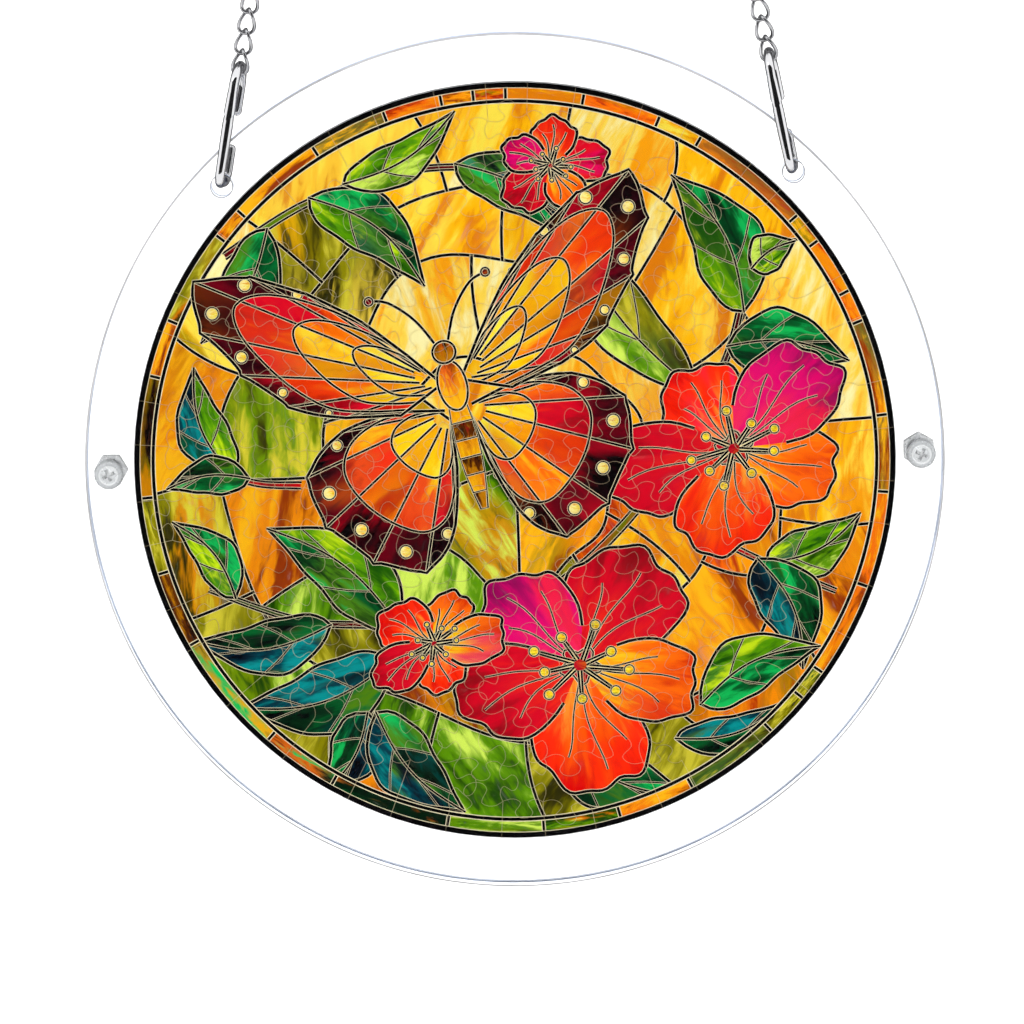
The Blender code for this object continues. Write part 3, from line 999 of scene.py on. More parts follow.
# %% Panes
GROUND_TONES = (
    (100, (CREAM, YELLOW, CREAM)), (60, (CREAM, YELLOW, CREAM)), (20, (CREAM, AMBER, YELLOW)),
    (-20, (YELLOW, ORANGE, AMBER)), (-60, (ORANGE, OLIVE, AMBER)), (-100, (OLIVE, LIME, AMBER)),
    (-140, (LIME, OLIVE, BROWN)), (180, (OLIVE, AMBER, LIME)), (140, (YELLOW, OLIVE, CREAM)),
)
STRAYS = {
    "petal": (CRIMSON, MAGENTA, BLAZE, CORAL), "leaf": (TEAL, EMERALD, FRESH, FOREST, LIME),
    "wing": (BLAZE, CRIMSON, GOLD), "border": (OLIVE, ORANGE, YELLOW, EMERALD),
}


def ground_sorts(place):
    """The sorts of glass for a ground pane: those of the nearest direction."""
    here = math.atan2(place.y, place.x)
    return min(GROUND_TONES, key=lambda entry: 1 - math.cos(math.radians(entry[0]) - here))[1]


def find_panes(bm):
    """Groups of glass faces that join without crossing a line."""
    panes = []
    waiting = {face for face in bm.faces if face[face_glass] >= 0}
    while waiting:
        pane, edge_of_search = [], [waiting.pop()]
        while edge_of_search:
            face = edge_of_search.pop()
            pane.append(face)
            for edge in face.edges:
                for other in edge.link_faces:
                    if other in waiting and other[face_glass] == face[face_glass]:
                        waiting.remove(other)
                        edge_of_search.append(other)
        panes.append(pane)
    return panes


panes = find_panes(bm)
panes.sort(key=lambda pane: min(tuple(face.calc_center_median()) for face in pane))
dice = random.Random(5)
for pane in panes:
    size = sum(face.calc_area() for face in pane)
    middle = sum((face.calc_center_median() * face.calc_area() for face in pane),
                 Vector()) / size
    glass = drawn_looks[pane[0][face_glass]][1]
    seed, value = dice.random(), dice.uniform(0.92, 1.08)
    colors = glass.tones
    strays = STRAYS.get(glass.family)
    if glass is ground:
        strays = ground_sorts(Vector((middle.x, middle.z)))
        colors = dice.choice(strays)
    colors = (*colors, dice.choice(strays)[1])
    lean = Matrix.Rotation(dice.uniform(-0.6, 0.6) if glass is ground else 0.0, 2)
    for face in pane:
        face[seed_layer] = seed
        for layer, color in zip(tone_layers, colors):
            face[layer] = (*(c * value for c in color), 1.0)
        for loop in face.loops:
            place = Vector((loop.vert.co.x, loop.vert.co.z)) / MM
            loop[run_layer].uv = glass.lie(lean @ place)
print(len(panes), "panes of glass")

# %% [markdown]
# The sheet is the printed face of a real plate. Its cuts are pressed in to a shallow groove
# with `extrude_face_region`, and its rim is drawn round a small chamfer to the middle of the
# plate and closed there. A mirrored copy makes the other face: light shines through such a
# print, so the back shows the same picture the other way round.

# %% Thickness and cuts
CUT_DEPTH = 0.22 * MM
RIM_SLOT = EDGING_SLOT + 1

bmesh.ops.translate(bm, verts=bm.verts, vec=(0, -PUZZLE_HALF, 0))
cut_faces = [face for face in bm.faces if face[face_cut] > 0.5]
cut_edges = [edge for edge in bm.edges if any(f[face_cut] > 0.5 for f in edge.link_faces)]
pressed = bmesh.ops.extrude_face_region(bm, geom=cut_faces + cut_edges)
bmesh.ops.translate(bm, verts=new_verts(pressed), vec=(0, CUT_DEPTH, 0))

chamfer = RIM_CHAMFER * MM
rim_edges = [edge for edge in bm.edges if edge.is_boundary]
growth = PUZZLE_RADIUS / (PUZZLE_RADIUS - chamfer)
for scale, depth in ((growth, chamfer), (1.0, PUZZLE_HALF - chamfer)):
    ring = bmesh.ops.extrude_edge_only(bm, edges=rim_edges)
    bmesh.ops.scale(bm, verts=new_verts(ring), vec=(scale, 1, scale))
    bmesh.ops.translate(bm, verts=new_verts(ring), vec=(0, depth, 0))
    for part in ring["geom"]:
        if isinstance(part, bmesh.types.BMFace):
            part.material_index = RIM_SLOT
    rim_edges = [part for part in ring["geom"]
                 if isinstance(part, bmesh.types.BMEdge) and part.is_boundary]
middle_face = bmesh.ops.contextual_create(bm, geom=rim_edges)["faces"][0]
middle_face.material_index = RIM_SLOT
print(len(bm.faces), "faces on one side of the puzzle")

# %% [markdown]
# ### The finish of the glass
#
# One function makes all five families of glass. It reads the pane's own run along and across,
# stretches a noise along the streaks, and walks with it from the light tone to the deep one.
# A petal and a leaf also drift from root to tip, and a petal's streaks fan out from its
# heart. Where the laser has cut, the print is bleached.

# %% Glass finishes
BLEACHED = shade("F2DFB4")
ACRYLIC_IOR = 1.49


def streaky_glass(name, along, across, drift=0.0, fan=0.0, wisps=0.05, stray=0.7):
    """along and across say how fine the streaks are, fan narrows them at the root."""
    finish, tree, shader = new_finish(name, AMBER[1], Roughness=0.14, IOR=ACRYLIC_IOR,
                                      Specular_IOR_Level=0.2)
    run = add_node(tree, "ShaderNodeSeparateXYZ")
    tree.links.new(add_node(tree, "ShaderNodeUVMap", uv_map="run").outputs["UV"], run.inputs[0])
    lengthwise, crosswise = run.outputs["X"], run.outputs["Y"]
    if fan:
        width_here = maths(tree, "ADD", maths(tree, "ABSOLUTE", lengthwise), fan)
        crosswise = maths(tree, "DIVIDE", crosswise, width_here)
    place = add_node(tree, "ShaderNodeCombineXYZ")
    tree.links.new(maths(tree, "MULTIPLY", lengthwise, along), place.inputs["X"])
    tree.links.new(maths(tree, "MULTIPLY", crosswise, across), place.inputs["Y"])
    seed = attribute(tree, "seed")
    broad = noise_of(tree, place.outputs[0], 0.8, 2.0, 0.5, 1.2, seed)
    fine = noise_of(tree, place.outputs[0], 2.6, 3.0, 0.6, 1.6, seed)
    streak = maths(tree, "ADD", maths(tree, "MULTIPLY", broad, 0.66),
                   maths(tree, "MULTIPLY", fine, 0.34))
    depth = spread(tree, streak, 0.34, 0.66)
    if drift:
        depth = maths(tree, "ADD", maths(tree, "MULTIPLY", depth, 1 - drift),
                      maths(tree, "MULTIPLY", lengthwise, drift), clamp=True)
    clouds = noise_of(tree, place.outputs[0], 0.55, 1.0, 0.5, 0.7, seed)
    middle = blend_colors(tree, spread(tree, clouds, 0.46, 0.62, 0.0, stray),
                          attribute(tree, "middle", "Color"), attribute(tree, "stray", "Color"))
    color = blend_colors(tree, spread(tree, depth, 0.06, 0.54), attribute(tree, "light", "Color"),
                         middle)
    color = blend_colors(tree, spread(tree, depth, 0.54, 0.94), color,
                         attribute(tree, "deep", "Color"))
    wisp = spread(tree, fine, 0.60, 0.80, 0.0, wisps)
    color = blend_colors(tree, wisp, color, (1.0, 0.97, 0.88))
    color = blend_colors(tree, maths(tree, "MULTIPLY", attribute(tree, "cut"), 0.38), color,
                         BLEACHED)
    tree.links.new(color, shader.inputs["Base Color"])
    tree.links.new(spread(tree, fine, 0.3, 0.7, 0.05, 0.12), shader.inputs["Roughness"])
    add_bump(tree, shader, noise_of(tree, object_place(tree), 260.0, 1.0), 0.08, 0.0004)
    return finish


glass_finishes = [
    streaky_glass("ground_glass", 0.8, 3.4, wisps=0.14),
    streaky_glass("petal_glass", 1.2, 5.0, drift=0.60, fan=0.30, stray=0.6),
    streaky_glass("leaf_glass", 1.5, 6.5, drift=0.15),
    streaky_glass("wing_glass", 1.2, 4.0, drift=0.40, wisps=0.03, stray=0.5),
    streaky_glass("border_glass", 1.1, 5.0, wisps=0.08, stray=0.8),
]
print(", ".join(finish.name for finish in glass_finishes))

# %% [markdown]
# The printed lead is a soft black, its edge a dull cream, and the plate's own edge is left
# bare and frosted by the laser.

# %% Lines and edge finishes
def printed_line(name, color, strength):
    finish, tree, shader = new_finish(name, color, Roughness=0.2, IOR=ACRYLIC_IOR,
                                      Specular_IOR_Level=0.2)
    mottle = uneven_gloss(tree, shader, 900.0, 0.06, 0.12)
    toned = blend_colors(tree, spread(tree, mottle, 0.3, 0.7, 0.0, strength), color,
                         tuple(0.55 * c for c in color))
    toned = blend_colors(tree, maths(tree, "MULTIPLY", attribute(tree, "cut"), 0.22), toned,
                         BLEACHED)
    tree.links.new(toned, shader.inputs["Base Color"])
    return finish


lead_finish = printed_line("lead_line", shade("050304"), 0.4)
edging_finish = printed_line("cream_edging", shade("F4E8C0"), 0.4)
frosted_rim, tree, shader = new_finish("frosted_rim", shade("E2E4E4"), Roughness=0.42,
                                       IOR=ACRYLIC_IOR, Transmission_Weight=0.6)
add_bump(tree, shader, uneven_gloss(tree, shader, 1400.0, 0.34, 0.5), 0.2, 0.0001)
print(lead_finish.name, edging_finish.name, frosted_rim.name)

# %% The two faces of the puzzle
puzzle_finishes = (*glass_finishes, lead_finish, edging_finish, frosted_rim)
back_half = bm.copy()
bmesh.ops.scale(back_half, verts=back_half.verts, vec=(1, -1, 1))
bmesh.ops.reverse_faces(back_half, faces=back_half.faces)
for half_name, half in (("puzzle_front", bm), ("puzzle_back", back_half)):
    bmesh.ops.translate(half, verts=half.verts, vec=(CENTRE.x, 0, CENTRE.z))
    piece = object_from(half_name, half, *puzzle_finishes)
    mount_piece(piece, "printed_acrylic", *(["puzzle_disc"] if half is bm else []))

# %% [markdown]
# ## The clear discs
#
# Each disc is cut from a 2 mm sheet: a circle with four small circles in it is filled with
# `triangle_fill`, and the face is extruded to the sheet's thickness. The edges that a hand
# meets, on the outer face, get a broad bevel, which is painted a matte grey so that it shows
# as a grey line round the rim. The inner edges get a narrower one. The sheet itself is
# perfectly clear. Its cut walls are nearly opaque, in a painted blue-grey, and the back bevel
# is a clearer painted blue: painted reflection for the tints the rim takes from around it.

# %% Acrylic finishes
clear_acrylic, tree, shader = new_finish("clear_acrylic", (1.0, 1.0, 1.0), Roughness=0.0,
                                         IOR=ACRYLIC_IOR, Transmission_Weight=1.0)
# Painted reflection: the cut walls' blue-grey stands in for the tint they take from around them.
cut_acrylic, tree, shader = new_finish("cut_acrylic", (0.28, 0.30, 0.38), Roughness=0.12,
                                       IOR=ACRYLIC_IOR, Transmission_Weight=0.08,
                                       Specular_IOR_Level=0.0)
uneven_gloss(tree, shader, 700.0, 0.05, 0.22)


def bevelled_acrylic(name, color, clearness):
    finish, tree, shader = new_finish(name, color, IOR=ACRYLIC_IOR, Roughness=0.4,
                                      Transmission_Weight=clearness, Specular_IOR_Level=0.0)
    # The bevel's colour is a painted reflection tint, mottled a little by noise.
    painted_tint_mottle = noise_of(tree, object_place(tree), 60.0, 2.0)
    tree.links.new(blend_colors(tree, spread(tree, painted_tint_mottle, 0.35, 0.65),
                                tuple(0.85 * part for part in color),
                                tuple(1.15 * part for part in color)),
                   shader.inputs["Base Color"])
    return finish


# Painted shade on the front bevel, a painted blue reflection on the back one.
front_bevel = bevelled_acrylic("front_bevel", (0.26, 0.26, 0.265), 0.15)
back_bevel = bevelled_acrylic("back_bevel", (0.44, 0.51, 0.66), 0.5)
print(clear_acrylic.name, cut_acrylic.name, front_bevel.name, back_bevel.name)

# %% Clear discs
HOLE_STEPS = 48
HANG_HOLE_RADIUS = 2.5 * MM
SCREW_HOLE_RADIUS = 2.25 * MM
RIM_BEVEL = 0.48 * MM
HOLE_BEVEL = 0.12 * MM
INNER_BEVEL = 0.20 * MM

hole_x, hole_z = HOLE_CIRCLE * math.sin(HANG_ANGLE), HOLE_CIRCLE * math.cos(HANG_ANGLE)
plate_holes = [(-hole_x, hole_z, HANG_HOLE_RADIUS), (hole_x, hole_z, HANG_HOLE_RADIUS),
               (-SCREW_CIRCLE, 0, SCREW_HOLE_RADIUS), (SCREW_CIRCLE, 0, SCREW_HOLE_RADIUS)]


def bevel_edges(bm, chosen, offset):
    corners = [edge for edge in bm.edges
               if edge.calc_face_angle(0) > math.radians(60) and chosen(edge.verts[0].co)]
    bmesh.ops.bevel(bm, geom=corners, offset=offset, affect="EDGES", segments=2, profile=0.5,
                    material=-1, clamp_overlap=True)


def make_plate(name):
    low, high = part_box(name)
    thick = high.y - low.y
    outer_y = 0 if low.y < 0 else thick         # the face that looks away from the puzzle
    bm = bmesh.new()
    bmesh.ops.create_circle(bm, segments=RIM_STEPS, radius=PLATE_RADIUS)
    for x, z, radius in plate_holes:
        bmesh.ops.create_circle(bm, segments=HOLE_STEPS, radius=radius,
                                matrix=Matrix.Translation((x, z, 0)))
    bmesh.ops.triangle_fill(bm, edges=bm.edges, use_beauty=True)
    bmesh.ops.rotate(bm, verts=bm.verts, matrix=Matrix.Rotation(math.radians(90), 3, "X"))
    sheet = bmesh.ops.extrude_face_region(bm, geom=bm.faces[:] + bm.edges[:])
    bmesh.ops.translate(bm, verts=new_verts(sheet), vec=(0, thick, 0))
    bmesh.ops.recalc_face_normals(bm, faces=bm.faces)
    bevel_edges(bm, lambda at: abs(at.y - outer_y) > GAP, INNER_BEVEL)
    bevel_edges(bm, lambda at: math.hypot(at.x, at.z) > PLATE_RADIUS - MM, RIM_BEVEL)
    bevel_edges(bm, lambda at: True, HOLE_BEVEL)
    for face in bm.faces:
        tilt = abs(face.normal.y)
        face.material_index = 0 if tilt > 0.99 else (1 if tilt < 0.01 else 2)
    bmesh.ops.translate(bm, verts=bm.verts, vec=(CENTRE.x, low.y, CENTRE.z))
    plate = object_from(name.replace("plate", "disc"), bm, clear_acrylic, cut_acrylic,
                        front_bevel if low.y < 0 else back_bevel, smooth_angle=15)
    mount_piece(plate, "clear_acrylic", name)


make_plate("front_plate")
make_plate("back_plate")

# %% [markdown]
# ## Nylon screws and nuts
#
# The screws are moulded in clear nylon, which is milky and softly shiny. Each is turned from
# a profile with `spin`: a head with a dished top, and a shank with fine thread ridges. A
# tapered cross is then cut out of the head. The nut is a six-sided prism whose corners are
# turned off. Each face gets a painted shade: the head's flank grey, its dished top and the
# cross's walls a paler grey, its crest and the cross's floor white. The nuts' tones are
# painted lighter, because behind the discs they get less light.

# %% Nylon
# The lit and the shaded tone of the nylon's painted shade.
NYLON_LIT_AND_SHADED = (shade("D2D4D5"), shade("A6A9AB"))
# The nuts' pair is painted lighter, for the light they miss behind the discs.
NUT_LIT_AND_SHADED = (shade("E2E4E5"), shade("D2D4D6"))


def moulded_nylon(name, lit_and_shaded_tones, clearness):
    finish, tree, shader = new_finish(name, lit_and_shaded_tones[0], Roughness=0.24, IOR=1.53,
                                      Transmission_Weight=clearness)
    # The 'depth' attribute is a painted shade: it blends from the lit tone to the shaded one.
    tree.links.new(blend_colors(tree, attribute(tree, "depth"), *lit_and_shaded_tones),
                   shader.inputs["Base Color"])
    add_bump(tree, shader, uneven_gloss(tree, shader, 500.0, 0.16, 0.34), 0.1, 0.0002)
    return finish


nylon = moulded_nylon("clear_nylon", NYLON_LIT_AND_SHADED, 0.45)
# The nuts' copy of the nylon: lighter painted tones, and more light through it.
nut_nylon = moulded_nylon("lightened_nut_nylon", NUT_LIT_AND_SHADED, 0.62)
print(nylon.name, nut_nylon.name)

# %% Helpers for turned and cut pieces
TURN_STEPS = 48


def mark_painted_shade(bm, painted_shade_of):
    """Stores each face's painted shade as 'depth' for the finish, from its middle and normal."""
    # 'depth' holds the face's painted shade, not a thickness.
    painted_shade_layer = bm.faces.layers.float.new("depth")
    bm.normal_update()
    for face in bm.faces:
        face[painted_shade_layer] = painted_shade_of(face.calc_center_median(), face.normal)


def turned(profile):
    """A bmesh turned about the Y axis from (radius, y) corners, from axis to axis."""
    bm = bmesh.new()
    line = [bm.verts.new((radius, y, 0)) for radius, y in profile]
    edges = [bm.edges.new(pair) for pair in zip(line, line[1:])]
    bmesh.ops.spin(bm, geom=line + edges, cent=(0, 0, 0), axis=(0, 1, 0), angle=math.tau,
                   steps=TURN_STEPS, use_merge=True)
    bmesh.ops.remove_doubles(bm, verts=bm.verts, dist=1e-6)
    bmesh.ops.recalc_face_normals(bm, faces=bm.faces)
    return bm


def prism(outline, low_y, high_y, end_scale=1.0):
    """A bmesh prism along Y over an (x, z) outline. end_scale shrinks its far end."""
    bm = bmesh.new()
    face = bm.faces.new([bm.verts.new((x, low_y, z)) for x, z in outline])
    far = new_verts(bmesh.ops.extrude_face_region(bm, geom=[face, *face.edges]))
    bmesh.ops.scale(bm, verts=far, vec=(end_scale, 1, end_scale))
    bmesh.ops.translate(bm, verts=far, vec=(0, high_y - low_y, 0))
    bmesh.ops.recalc_face_normals(bm, faces=bm.faces)
    return bm


def combined(bm, tool_bm, operation):
    """The bmesh after a Boolean with a tool, by way of two short-lived objects."""
    body, tool = object_from("body", bm), object_from("tool", tool_bm)
    cut = body.modifiers.new("cut", "BOOLEAN")
    cut.operation = operation
    cut.object = tool
    result = bmesh.new()
    result.from_object(body, bpy.context.evaluated_depsgraph_get())
    for used in (body, tool):
        bpy.data.objects.remove(used)
    return result


def mount_nylon(bm, node, side, finish, painted_shade_of):
    """Marks a moulded piece's painted shade, moves it out to its hole and mounts it."""
    mark_painted_shade(bm, painted_shade_of)
    bmesh.ops.translate(bm, verts=bm.verts, vec=(side * SCREW_CIRCLE, 0, CENTRE.z))
    mount_piece(object_from("nylon_" + node, bm, finish, smooth_angle=32), "clear_nylon", node)

# %% Screws
HEAD_RADIUS = 3.4 * MM
HEAD_HEIGHT = 2.4 * MM
SHANK_RADIUS = 1.9 * MM
THREAD_PITCH = 0.7 * MM
THREAD_DEPTH = 0.22 * MM
CREST_STEPS = 7
SCREW_TURN = math.radians(24)       # each cross stands turned, one way or the other
NUT_THICK = 3.0 * MM
TIP_LENGTH = 1.2 * MM
RECESS_REACH = 1.8 * MM
RECESS_HALF = 0.45 * MM
RECESS_DEPTH = 1.1 * MM
DISH_RADIUS = 1.95 * MM
DISH_DEPTH = 0.12 * MM

UNDER_HEAD = -STACK_HALF - GAP
SCREW_TIP = STACK_HALF + GAP + NUT_THICK + TIP_LENGTH


def screw_profile():
    """From the head's dished middle over its crest, down the thread and across the tip."""
    top = UNDER_HEAD - HEAD_HEIGHT
    points = [(0, top + DISH_DEPTH), (DISH_RADIUS, top + DISH_DEPTH),
              (DISH_RADIUS + 0.15 * MM, top)]
    for step in range(CREST_STEPS + 1):
        turn = math.pi / 2 * step / CREST_STEPS
        points.append((HEAD_RADIUS * (0.68 + 0.32 * math.sin(turn)),
                       UNDER_HEAD - HEAD_HEIGHT * (0.25 + 0.74 * math.cos(turn))))
    points += [(HEAD_RADIUS, UNDER_HEAD - 0.08 * HEAD_HEIGHT),
               (0.97 * HEAD_RADIUS, UNDER_HEAD), (SHANK_RADIUS, UNDER_HEAD)]
    y = UNDER_HEAD + 0.3 * MM
    while y < SCREW_TIP - 1.2 * THREAD_PITCH:
        for share, depth in ((0, 0), (0.35, THREAD_DEPTH), (0.5, THREAD_DEPTH), (0.85, 0)):
            points.append((SHANK_RADIUS - depth, y + share * THREAD_PITCH))
        y += THREAD_PITCH
    return points + [(0.8 * SHANK_RADIUS, SCREW_TIP - 0.3 * MM), (0.66 * SHANK_RADIUS, SCREW_TIP),
                     (0, SCREW_TIP)]


def recess_outline():
    arm = ((RECESS_HALF, RECESS_REACH), (RECESS_HALF, RECESS_HALF), (RECESS_REACH, RECESS_HALF))
    return [Matrix.Rotation(-math.pi / 2 * quarter, 2) @ Vector(corner)
            for quarter in range(4) for corner in arm]


def screw_painted_shade(middle, normal):
    """The painted shade of a face of the screw, from 0 on the crest to 1."""
    out = math.hypot(middle.x, middle.z)
    below_top = middle.y - (UNDER_HEAD - HEAD_HEIGHT)
    if out > DISH_RADIUS + 0.45 * MM:
        return 0.85
    if out > DISH_RADIUS or below_top > 0.8 * RECESS_DEPTH:
        return 0.0
    return 0.4 if abs(normal.y) > 0.9 else 0.2


for side, node in ((-1, "screw_left"), (1, "screw_right")):
    top = UNDER_HEAD - HEAD_HEIGHT
    bm = combined(turned(screw_profile()),
                  prism(recess_outline(), top - GAP, top + RECESS_DEPTH, 0.62), "DIFFERENCE")
    bmesh.ops.rotate(bm, verts=bm.verts, matrix=Matrix.Rotation(side * SCREW_TURN, 3, "Y"))
    mount_nylon(bm, node, side, nylon, screw_painted_shade)

# %% Nuts
NUT_FLATS = 7.0 * MM
NUT_TURNS = (0.0, math.radians(30))  # a flat on top at the left, a corner at the right

nut_low, nut_high = STACK_HALF + GAP, STACK_HALF + GAP + NUT_THICK
nut_corner = NUT_FLATS / 2 / math.cos(math.radians(30))
cone_drop = 0.45 * MM
for side, node, start in zip((-1, 1), ("nut_left", "nut_right"), NUT_TURNS):
    outline = [nut_corner * ray(turn) for turn in turns(6, start)]
    flats = NUT_FLATS / 2
    corner_tool = turned([(0, nut_low - GAP), (flats * 0.86, nut_low - GAP),
                          (flats * 0.96, nut_low), (nut_corner * 1.02, nut_low + cone_drop),
                          (nut_corner * 1.02, nut_high - cone_drop), (flats * 0.96, nut_high),
                          (flats * 0.86, nut_high + GAP), (0, nut_high + GAP)])
    bm = combined(prism(outline, nut_low, nut_high), corner_tool, "INTERSECT")
    bore = SHANK_RADIUS + GAP
    hole_tool = turned([(0, nut_low - GAP), (bore + 0.5 * MM, nut_low - GAP),
                        (bore, nut_low + 0.35 * MM), (bore, nut_high - 0.35 * MM),
                        (bore + 0.5 * MM, nut_high + GAP), (0, nut_high + GAP)])
    bm = combined(bm, hole_tool, "DIFFERENCE")
    # Painted shade on the nut: its front and back faces 0.35 of the way to the shaded tone, its
    # flats 0.1.
    mount_nylon(bm, node, side, nut_nylon,
                lambda middle, normal: 0.35 if abs(normal.y) > 0.9 else 0.1)

# %% [markdown]
# ## Wire hooks and chain
#
# Both are bright drawn wire; the chain's copy of it is painted darker, a painted shade for
# its close twisted links. A curve with a bevel is the natural way to make wire: one line
# of points, each with its own radius. Each curve becomes a mesh before it is mounted.

# %% Bright wire
bright_wire, tree, shader = new_finish("bright_wire", (0.42, 0.42, 0.43), Metallic=1.0,
                                       Roughness=0.07)
drawn = uneven_gloss(tree, shader, 650.0, 0.04, 0.13, detail=3.0)
add_bump(tree, shader, drawn, 0.06, 0.0001)
# A darker copy of the bright wire: painted shade for the chain's links.
chain_wire_painted_shade, tree, shader = new_finish("chain_wire_painted_shade", (0.27, 0.27, 0.28), Metallic=1.0,
                                      Roughness=0.14)
uneven_gloss(tree, shader, 500.0, 0.09, 0.20, detail=3.0)


def wire_piece(name, lines, closed, sides, smooth_angle, finish):
    """Round wire along lines of (place, radius) pairs, as a mesh."""
    curve = bpy.data.curves.new(name, "CURVE")
    curve.dimensions = "3D"
    curve.bevel_depth = 1.0
    curve.bevel_resolution = (sides - 4) // 2
    curve.use_fill_caps = True
    for line in lines:
        spline = curve.splines.new("POLY")
        spline.use_cyclic_u = closed
        spline.points.add(len(line) - 1)
        for point, (place, radius) in zip(spline.points, line):
            point.co = (*place, 1.0)
            point.radius = radius
    guide = bpy.data.objects.new(name + "_guide", curve)
    bpy.context.scene.collection.objects.link(guide)
    bm = bmesh.new()
    bm.from_mesh(guide.evaluated_get(bpy.context.evaluated_depsgraph_get()).to_mesh())
    bpy.data.objects.remove(guide)
    bmesh.ops.remove_doubles(bm, verts=bm.verts, dist=1e-6)
    bmesh.ops.recalc_face_normals(bm, faces=bm.faces)
    return object_from(name, bm, finish, smooth_angle=smooth_angle)


print("wire ready")

# %% [markdown]
# A hook stands nearly square to the discs: a long loop, whose foot goes through both hanging
# holes. Its upper part ends in a sleeve that comes down in front over the arm, and its blunt
# tip stands behind, a little above the holes.

# %% Hooks
HOOK_WIRE = 1.14 * MM
HOOK_LEAN = math.radians(10.5)
HOOK_YAW = math.radians(7)          # turned this far about its own length
HOOK_HALF_DEPTH = 5.44 * MM
HOOK_RISE = 27.42 * MM
HOOK_SEAT_RISE = 0.734 * MM
HOOK_CORNER = 3.0 * MM
HOOK_TIP = 8.8 * MM
HOOK_BACK_END = 16.5 * MM
SLEEVE_END = 16.9 * MM
SLEEVE_RADIUS = 1.45 * MM
ARM_RADIUS = 1.32 * MM
BEND_STEPS = 32
CORNER_STEPS = 12
DOME_STEPS = 5


def dome(y, height, radius, toward):
    """A rounded wire end: a few rings that close like half a ball."""
    return [(y, height + toward * radius * math.sin(turn), max(radius * math.cos(turn), 1e-6))
            for turn in (math.pi / 2 * i / DOME_STEPS for i in range(1, DOME_STEPS + 1))]


def hook_outline():
    """(y, height, wire radius) from the free end over the top, down the front and back up."""
    depth = HOOK_HALF_DEPTH
    points = dome(depth, HOOK_BACK_END, HOOK_WIRE, -1)[::-1]
    points += [(depth, HOOK_BACK_END + k * MM, HOOK_WIRE) for k in (0, 2, 4)]
    for step in range(BEND_STEPS + 1):
        turn = math.pi * step / BEND_STEPS
        points.append((depth * math.cos(turn), HOOK_RISE - depth + depth * math.sin(turn),
                       HOOK_WIRE))
    points += [(-depth, SLEEVE_END, HOOK_WIRE), (-depth, SLEEVE_END - 3 * MM, ARM_RADIUS),
               (-depth, SLEEVE_END - 8 * MM, ARM_RADIUS - 0.05 * MM)]
    for side in (-1, 1):
        for step in range(CORNER_STEPS + 1):
            turn = math.pi / (2 * CORNER_STEPS) * (step if side < 0 else CORNER_STEPS - step)
            points.append((side * (depth - HOOK_CORNER + HOOK_CORNER * math.cos(turn)),
                           HOOK_CORNER - HOOK_CORNER * math.sin(turn), HOOK_WIRE))
    points.append((depth, HOOK_TIP - HOOK_WIRE, HOOK_WIRE))
    return points + dome(depth, HOOK_TIP - HOOK_WIRE, HOOK_WIRE, 1)


def hook_place(side):
    """The matrix that stands a hook, drawn with its length along Z, in its hole."""
    foot = Vector((side * hole_x, 0, CENTRE.z + hole_z))
    return (Matrix.Translation(foot) @ Matrix.Rotation(-side * HOOK_LEAN, 4, "Y")
            @ Matrix.Translation((0, 0, HOOK_SEAT_RISE)) @ Matrix.Rotation(-HOOK_YAW, 4, "Z"))


for side, node in ((-1, "wire_hook_left"), (1, "wire_hook_right")):
    line = [(hook_place(side) @ Vector((0, y, height)), radius)
            for y, height, radius in hook_outline()]
    mount_piece(wire_piece("bright_" + node, [line], False, 24, 50, bright_wire),
                "bright_wire", node)

# %% [markdown]
# The sleeve is a slightly tapered tube, closed over the arm. Two slanting cuts leave a pointed
# tongue at its lower end. `bisect_plane` makes each cut, and the hole it leaves is filled.

# %% Sleeves
SLEEVE_TOP = SLEEVE_END + 4.5 * MM
SLEEVE_TOP_RADIUS = 1.2 * MM
TONGUE = 2.6 * MM

for side, word in ((-1, "left"), (1, "right")):
    bm = bmesh.new()
    tip = SLEEVE_END - TONGUE
    bmesh.ops.create_cone(bm, cap_ends=True, segments=32, radius1=SLEEVE_RADIUS,
                          radius2=SLEEVE_TOP_RADIUS, depth=SLEEVE_TOP - tip)
    bmesh.ops.translate(bm, verts=bm.verts, vec=(0, -HOOK_HALF_DEPTH, (SLEEVE_TOP + tip) / 2))
    for slant in (-1, 1):
        bmesh.ops.bisect_plane(bm, geom=bm.verts[:] + bm.edges[:] + bm.faces[:],
                               plane_co=(0, 0, tip), clear_outer=True,
                               plane_no=(slant * TONGUE / SLEEVE_RADIUS, 0, -1))
        bmesh.ops.holes_fill(bm, edges=[edge for edge in bm.edges if edge.is_boundary])
    bmesh.ops.transform(bm, matrix=hook_place(side), verts=bm.verts)
    bmesh.ops.recalc_face_normals(bm, faces=bm.faces)
    mount_piece(object_from("bright_sleeve_" + word, bm, bright_wire, smooth_angle=40),
                "bright_wire")

# %% [markdown]
# Each link is a closed oval of wire, twisted by a quarter turn from end to end, so that
# neighbours nest into a flat rope. The links follow the chain's route: straight up from each
# hook and over a round peg. The chain lies flat on the peg and turns slowly about itself on
# its way down, so that its last link stands square to the hook's wire.

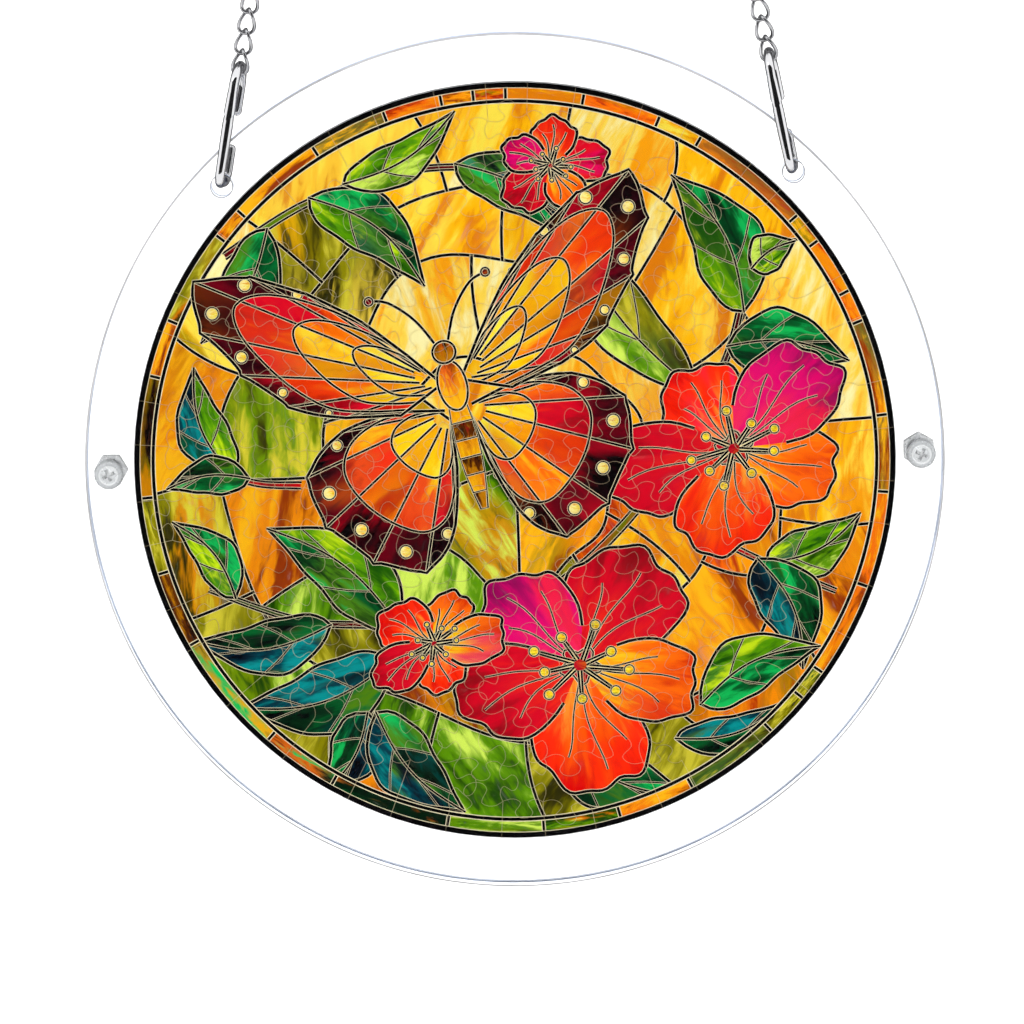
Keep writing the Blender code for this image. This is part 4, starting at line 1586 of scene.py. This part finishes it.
# %% The chain's route
LINK_WIRE = 0.45 * MM
LINK_FLAT = LINK_WIRE * math.sqrt(math.pi) / 2
LINK_HALF_LENGTH = 2.72 * MM
LINK_SEEN_LENGTH = 2.67 * MM        # the smooth oval reaches past its corners
LINK_HALF_WIDTH = 1.85 * MM
LINK_SIDE = 1.45 * MM
LINK_END = 0.95 * MM
LINK_TWIST = math.radians(45)
LINKS_PER_RUN = 60
LINKS_OVER_PEG = 5
LINK_OVERLAP = 0.12 * MM
LINK_GAP = 0.15 * MM
PEG_BEND = 9.0 * MM
CHAIN_LEAN = math.radians(10.615)
CHAIN_ROLL = math.radians(128)
ARC_CENTRE_Z = -7.7 * MM

LINK_PITCH = 2 * LINK_HALF_LENGTH - 2 * LINK_FLAT + LINK_OVERLAP
LOOSE_PITCH = 2 * LINK_HALF_LENGTH - 2 * LINK_FLAT - LINK_GAP
PEG_LINKS = LINKS_OVER_PEG // 2
RUN_START = PEG_LINKS * LINK_PITCH + LOOSE_PITCH


def chain_point(distance):
    """A place on the right half of the route, and the way it runs there, as (x, z)."""
    arc = math.pi / 2 - CHAIN_LEAN
    if distance < PEG_BEND * arc:
        turn = distance / PEG_BEND
        return (Vector((math.sin(turn), math.cos(turn))) * PEG_BEND,
                Vector((math.cos(turn), -math.sin(turn))))
    down = Vector((math.sin(CHAIN_LEAN), -math.cos(CHAIN_LEAN)))
    leaving = Vector((math.cos(CHAIN_LEAN), math.sin(CHAIN_LEAN))) * PEG_BEND
    return leaving + down * (distance - PEG_BEND * arc), down


oval = smooth_line([(LINK_HALF_WIDTH, -LINK_SIDE), (LINK_HALF_WIDTH, LINK_SIDE),
                    (LINK_END, LINK_SEEN_LENGTH), (-LINK_END, LINK_SEEN_LENGTH),
                    (-LINK_HALF_WIDTH, LINK_SIDE), (-LINK_HALF_WIDTH, -LINK_SIDE),
                    (-LINK_END, -LINK_SEEN_LENGTH), (LINK_END, -LINK_SEEN_LENGTH)],
                   0.6 * MM, closed=True)
print(len(oval), "points round a link")

# %% Chain
def link_line(number):
    """One link's centre line. Number 0 is on top of the peg, and the left side is negative."""
    steps = abs(number)
    distance = (steps * LINK_PITCH if steps <= PEG_LINKS
                else RUN_START + (steps - PEG_LINKS - 1) * LINK_PITCH)
    side = -1 if number < 0 else 1
    point, direction = chain_point(distance)
    centre = Vector((side * point.x, 0, ARC_CENTRE_Z + point.y))
    along = Vector((direction.x, 0, side * direction.y))
    roll = math.radians(90) + CHAIN_ROLL * number / (PEG_LINKS + LINKS_PER_RUN)
    front = Vector((0, 1, 0))
    width = front.cross(along) * math.cos(roll) + front * math.sin(roll)
    thick = along.cross(width)
    line = []
    for across, lengthwise in oval:
        twist = -LINK_TWIST * lengthwise / LINK_HALF_LENGTH
        line.append((centre + along * lengthwise + width * (across * math.cos(twist))
                     + thick * (across * math.sin(twist)), LINK_WIRE))
    return line


last_link = PEG_LINKS + LINKS_PER_RUN
for node, first, last in (("chain_left", -last_link, -PEG_LINKS - 1),
                          ("chain_over_peg", -PEG_LINKS, PEG_LINKS),
                          ("chain_right", PEG_LINKS + 1, last_link)):
    lines = [link_line(number) for number in range(first, last + 1)]
    mount_piece(wire_piece("bright_" + node, lines, True, 8, 60, chain_wire_painted_shade), "bright_wire",
                node)
